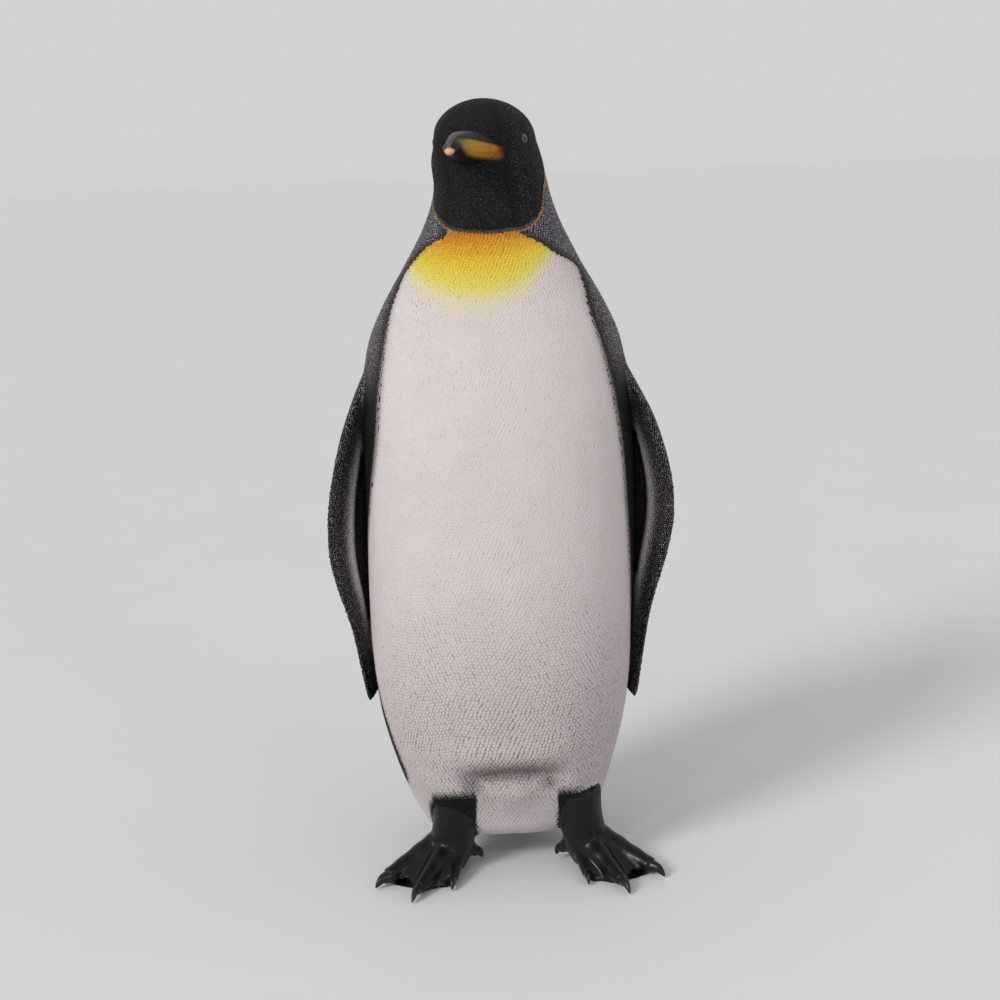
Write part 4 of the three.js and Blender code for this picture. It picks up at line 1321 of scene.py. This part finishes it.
def bill_masks(points):
    """The bill's painted places: the side plates, how far along them, the tip's spot and a painted highlight
    along its top.
    """
    level = points.copy()
    level[:, 2] = EYE_HEIGHT
    leftward, reach = in_section(level)
    height = points[:, 2]
    up = height - PLATE["height"] - PLATE["slope"] * (reach - PLATE["reach"])
    across = (reach - PLATE["reach"]) / PLATE["half_length"]
    oval = np.hypot(across, up / PLATE["half_height"])
    spot = np.linalg.norm((points - head_point(*SPOT["place"])) / SPOT["radii"], axis=1)
    up_share = (height - bill_middle(reach)) / np.maximum(bill_height(reach), 1e-3)
    seen = np.where(leftward > 0, 1.0, smooth_step(*PLATE["far_reach"], reach))
    return {
        "plate": smooth_step(1 + PLATE["soft"] / 2, 1 - PLATE["soft"], oval) * seen
        * smooth_step(*PLATE["cheek"], np.abs(leftward)),
        "along": np.clip(across / 2 + 0.5, 0, 1),
        "spot": smooth_step(1 + SPOT["soft"], 1 - SPOT["soft"], spot),
        "worn": smooth_step(*TOP_HIGHLIGHT["up"], up_share) * smooth_step(*TOP_HIGHLIGHT["reach"], reach),
    }


def bill_half(upper, reach, angle):
    """The bill's surface above or under the mouth's line, with the rest pressed flat against that line."""
    middle, half = bill_middle(reach), bill_height(reach)
    lip = np.clip((gape_height(reach) + GAPE_GAP * (0.5 if upper else -0.5) - middle) / half, -1, 1)
    folds = WRINKLE["height"] * bump(reach - WRINKLE["reach"], WRINKLE["spread"])
    points = bill_surface(reach, angle, folds * np.sin(WRINKLE["waves"] * angle + WRINKLE["drift"] * reach))
    edge = bill_surface(reach, np.where(np.cos(angle) > 0, np.arcsin(lip), math.pi - np.arcsin(lip)))
    hidden = np.sin(angle) < lip if upper else np.sin(angle) > lip
    share = np.minimum(np.abs(np.cos(angle)) * BILL["lip"], 1)[..., None]
    centre = head_point(np.zeros(np.shape(reach)), reach, middle + half * lip)
    return np.where(hidden[..., None], centre + (edge - centre) * share, points)


def make_bill(finish):
    """Upper and lower halves, parted along the mouth's line."""
    for name in ("upper", "lower"):
        reaches = np.linspace(BILL_LINE[0][0], BILL[f"{name}_end"], BILL["rings"])
        points, faces = wrapped(partial(bill_half, name == "upper"), reaches, BILL["sides"])
        piece = make_piece(f"bill_{name}_horn", points, faces, finish)
        give_masks(piece, bill_masks(points))
        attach(piece, "root")
        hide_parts(f"bill_{name}")


def eye_axes(side):
    """Outward, backward and upward at an eye."""
    middle = eye_middle(side)
    outward = unit(middle - placed(0, 0, EYE_HEIGHT))
    upward = np.array((0.0, 0.0, 1.0))
    return middle, outward, np.cross(upward, outward), upward


def make_eye(name, side, glass, lid):
    """A glass ball and the two lids' rim round it."""
    middle, outward, back, up = eye_axes(side)

    def ring(turn, long=1, tall=1):
        return back * np.cos(turn)[:, None] * long + up * np.sin(turn)[:, None] * tall

    def ball(polar, turn):
        off = outward * np.cos(polar)[:, None] + ring(turn) * np.sin(polar)[:, None]
        return middle + EYE["radius"] * off

    def rim(round_tube, turn):
        thick = LID["thick"] * (1 + LID["brow"] * np.sin(turn))[:, None]
        wider = 1 + thick / LID["long"] * np.cos(round_tube)[:, None]
        outer = ring(turn, LID["long"], LID["tall"]) * wider
        return middle + outer + outward * (LID["out"] + thick * np.sin(round_tube)[:, None])

    polar = np.linspace(EYEBALL["pole"], math.pi - EYEBALL["pole"], EYEBALL["rings"])
    points, faces = wrapped(ball, polar, EYEBALL["sides"])
    eye = make_piece(f"eyeball_{name}", points, faces, glass)
    angle = np.degrees(np.repeat(polar, EYEBALL["sides"]))
    give_masks(eye, {part: smooth_step(*EYEBALL[part], angle) for part in ("pupil", "iris")})
    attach(eye, "root")
    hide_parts(f"eye_{name}")
    turns = np.linspace(0, 2 * math.pi, LID["sides"], endpoint=False)
    tube_turns = np.linspace(0, 2 * math.pi, LID["rings"], endpoint=False)
    rings = [rim(np.full(LID["sides"], tube_turn), turns) for tube_turn in tube_turns]
    many = LID["sides"] * LID["rings"]
    here = np.arange(many)
    after = here - here % LID["sides"] + (here + 1) % LID["sides"]
    faces = np.column_stack([here, after, (after + LID["sides"]) % many, (here + LID["sides"]) % many])
    lids = make_piece(f"eyelids_{name}", np.concatenate(rings), faces.tolist(), lid)
    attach(lids, "root")


def make_claws(name, side, finish):
    """The four claws of one foot."""
    shares = np.linspace(0, 1, CLAW["rings"])
    for toe_name, toe in TOES.items():
        points, faces = wrapped(partial(claw_surface, side, toe), shares, CLAW["sides"])
        claw = make_piece(f"nail_{toe_name}_{name}", floored(points), faces, finish)
        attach(claw, "root")
        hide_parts(f"claw_{toe_name}_{name}")


# ---------------------------------------------------------------- studio


def make_camera():
    """A camera that stands in front of the figure and looks down at it, leaning a little."""
    camera = bpy.data.objects.new("camera", bpy.data.cameras.new("camera"))
    bpy.context.scene.collection.objects.link(camera)
    camera.data.sensor_width = CAMERA["sensor"]
    camera.data.lens = CAMERA["sensor"] * CAMERA["focal_pixels"] / CAMERA["picture"]
    look = Euler((math.radians(90 - CAMERA["down"]), 0, 0)).to_matrix().to_4x4()
    place = Vector(in_frame(np.array(CAMERA["place"])))
    roll = Matrix.Rotation(math.radians(-CAMERA["lean"]), 4, "Z")
    camera.matrix_world = Matrix.Translation(place) @ look @ roll
    bpy.context.scene.camera = camera


def make_light(name, kind, place, power, **settings):
    """A lamp that points at the figure's middle from a place in metres."""
    light = bpy.data.lights.new(name, kind)
    light.energy = power
    for setting, value in settings.items():
        setattr(light, setting, value)
    lamp = bpy.data.objects.new(name, light)
    bpy.context.scene.collection.objects.link(lamp)
    lamp.location = place
    aim = Vector((0, 0, EYE_HEIGHT * MM / 2)) - Vector(place)
    lamp.rotation_euler = aim.to_track_quat("-Z", "Y").to_euler()


def make_studio():
    """The lamps, an even sky and a floor that reaches out of sight."""
    make_light("sun", "SUN", SUN["place"], SUN["strength"], angle=math.radians(SUN["spread"]))
    for name, lamp in (("fill", FILL), ("glint", GLINT)):
        make_light(name, "AREA", lamp["place"], lamp["power"], shape="DISK", size=lamp["size"])
    world = bpy.data.worlds.new("studio")
    bpy.context.scene.world = world
    world.use_nodes = True
    sky = world.node_tree.nodes["Background"]
    sky.inputs["Color"].default_value = (1, 1, 1, 1)
    sky.inputs["Strength"].default_value = SKY_STRENGTH
    bpy.context.scene.view_settings.view_transform = "Standard"
    half = FLOOR_HALF / MM
    corners = np.array([(-half, -half, 0), (half, -half, 0), (half, half, 0), (-half, half, 0)], float)
    floor = make_piece("floor", corners, [[0, 1, 2, 3]], floor_finish("studio floor"))
    floor.location.z = -FLOOR_DROP


# ---------------------------------------------------------------- assembly

random = np.random.default_rng(SEED)
make_camera()
make_studio()

forms = {
    "trunk": trunk_form(),
    "flipper_left": flipper_form(FLIPPERS["left"]),
    "flipper_right": flipper_form(FLIPPERS["right"]),
    "tail": tail_form(),
    "leg_left": leg_form(1),
    "leg_right": leg_form(-1),
}
trees = {name: tree_of(form) for name, form in forms.items()}
skin = make_skin(forms, trees)
skin_points = from_frame(points_of(skin.data))
# The skin between the beads is painted as all hollow, so all of it is in painted shade.
skin.data.materials.append(plumage_paint("shaded skin paint", False))
give_masks(skin, markings(skin_points, parts_at(skin_points, trees), CREEP))

ground = Ground(skin)
coat = plumage_paint("painted beads", True)
for region, kind, keep in (
    ("front", FRONT_BEADS, on_front), ("back", BACK_BEADS, on_back), ("head", HEAD_BEADS, on_head),
):
    rows = rows_over(trunk_surface, TRUNK_STATIONS, kind["pitch"])
    lay_beads(f"coat_{region}", kind, rows, ground, trees, keep, coat)
for side_name, flipper in FLIPPERS.items():
    rows = rows_over(partial(flipper_surface, flipper), FLIPPER_STATIONS, FLIPPER_BEADS["pitch"])
    lay_beads(f"coat_flipper_{side_name}", FLIPPER_BEADS, rows, ground, trees, on_flipper, coat)
rows = rows_over(tail_surface, TAIL_STATIONS, TAIL_BEADS["pitch"])
lay_beads("coat_tail", TAIL_BEADS, rows, ground, trees, on_tail, coat)

make_bill(bill_paint("painted bill"))
glass, lid, nail = eye_glass("eye glass"), lid_paint("lid paint"), gloss_paint("gloss black")
for side_name, flipper in FLIPPERS.items():
    make_eye(side_name, flipper["side"], glass, lid)
    make_claws(side_name, flipper["side"], nail)
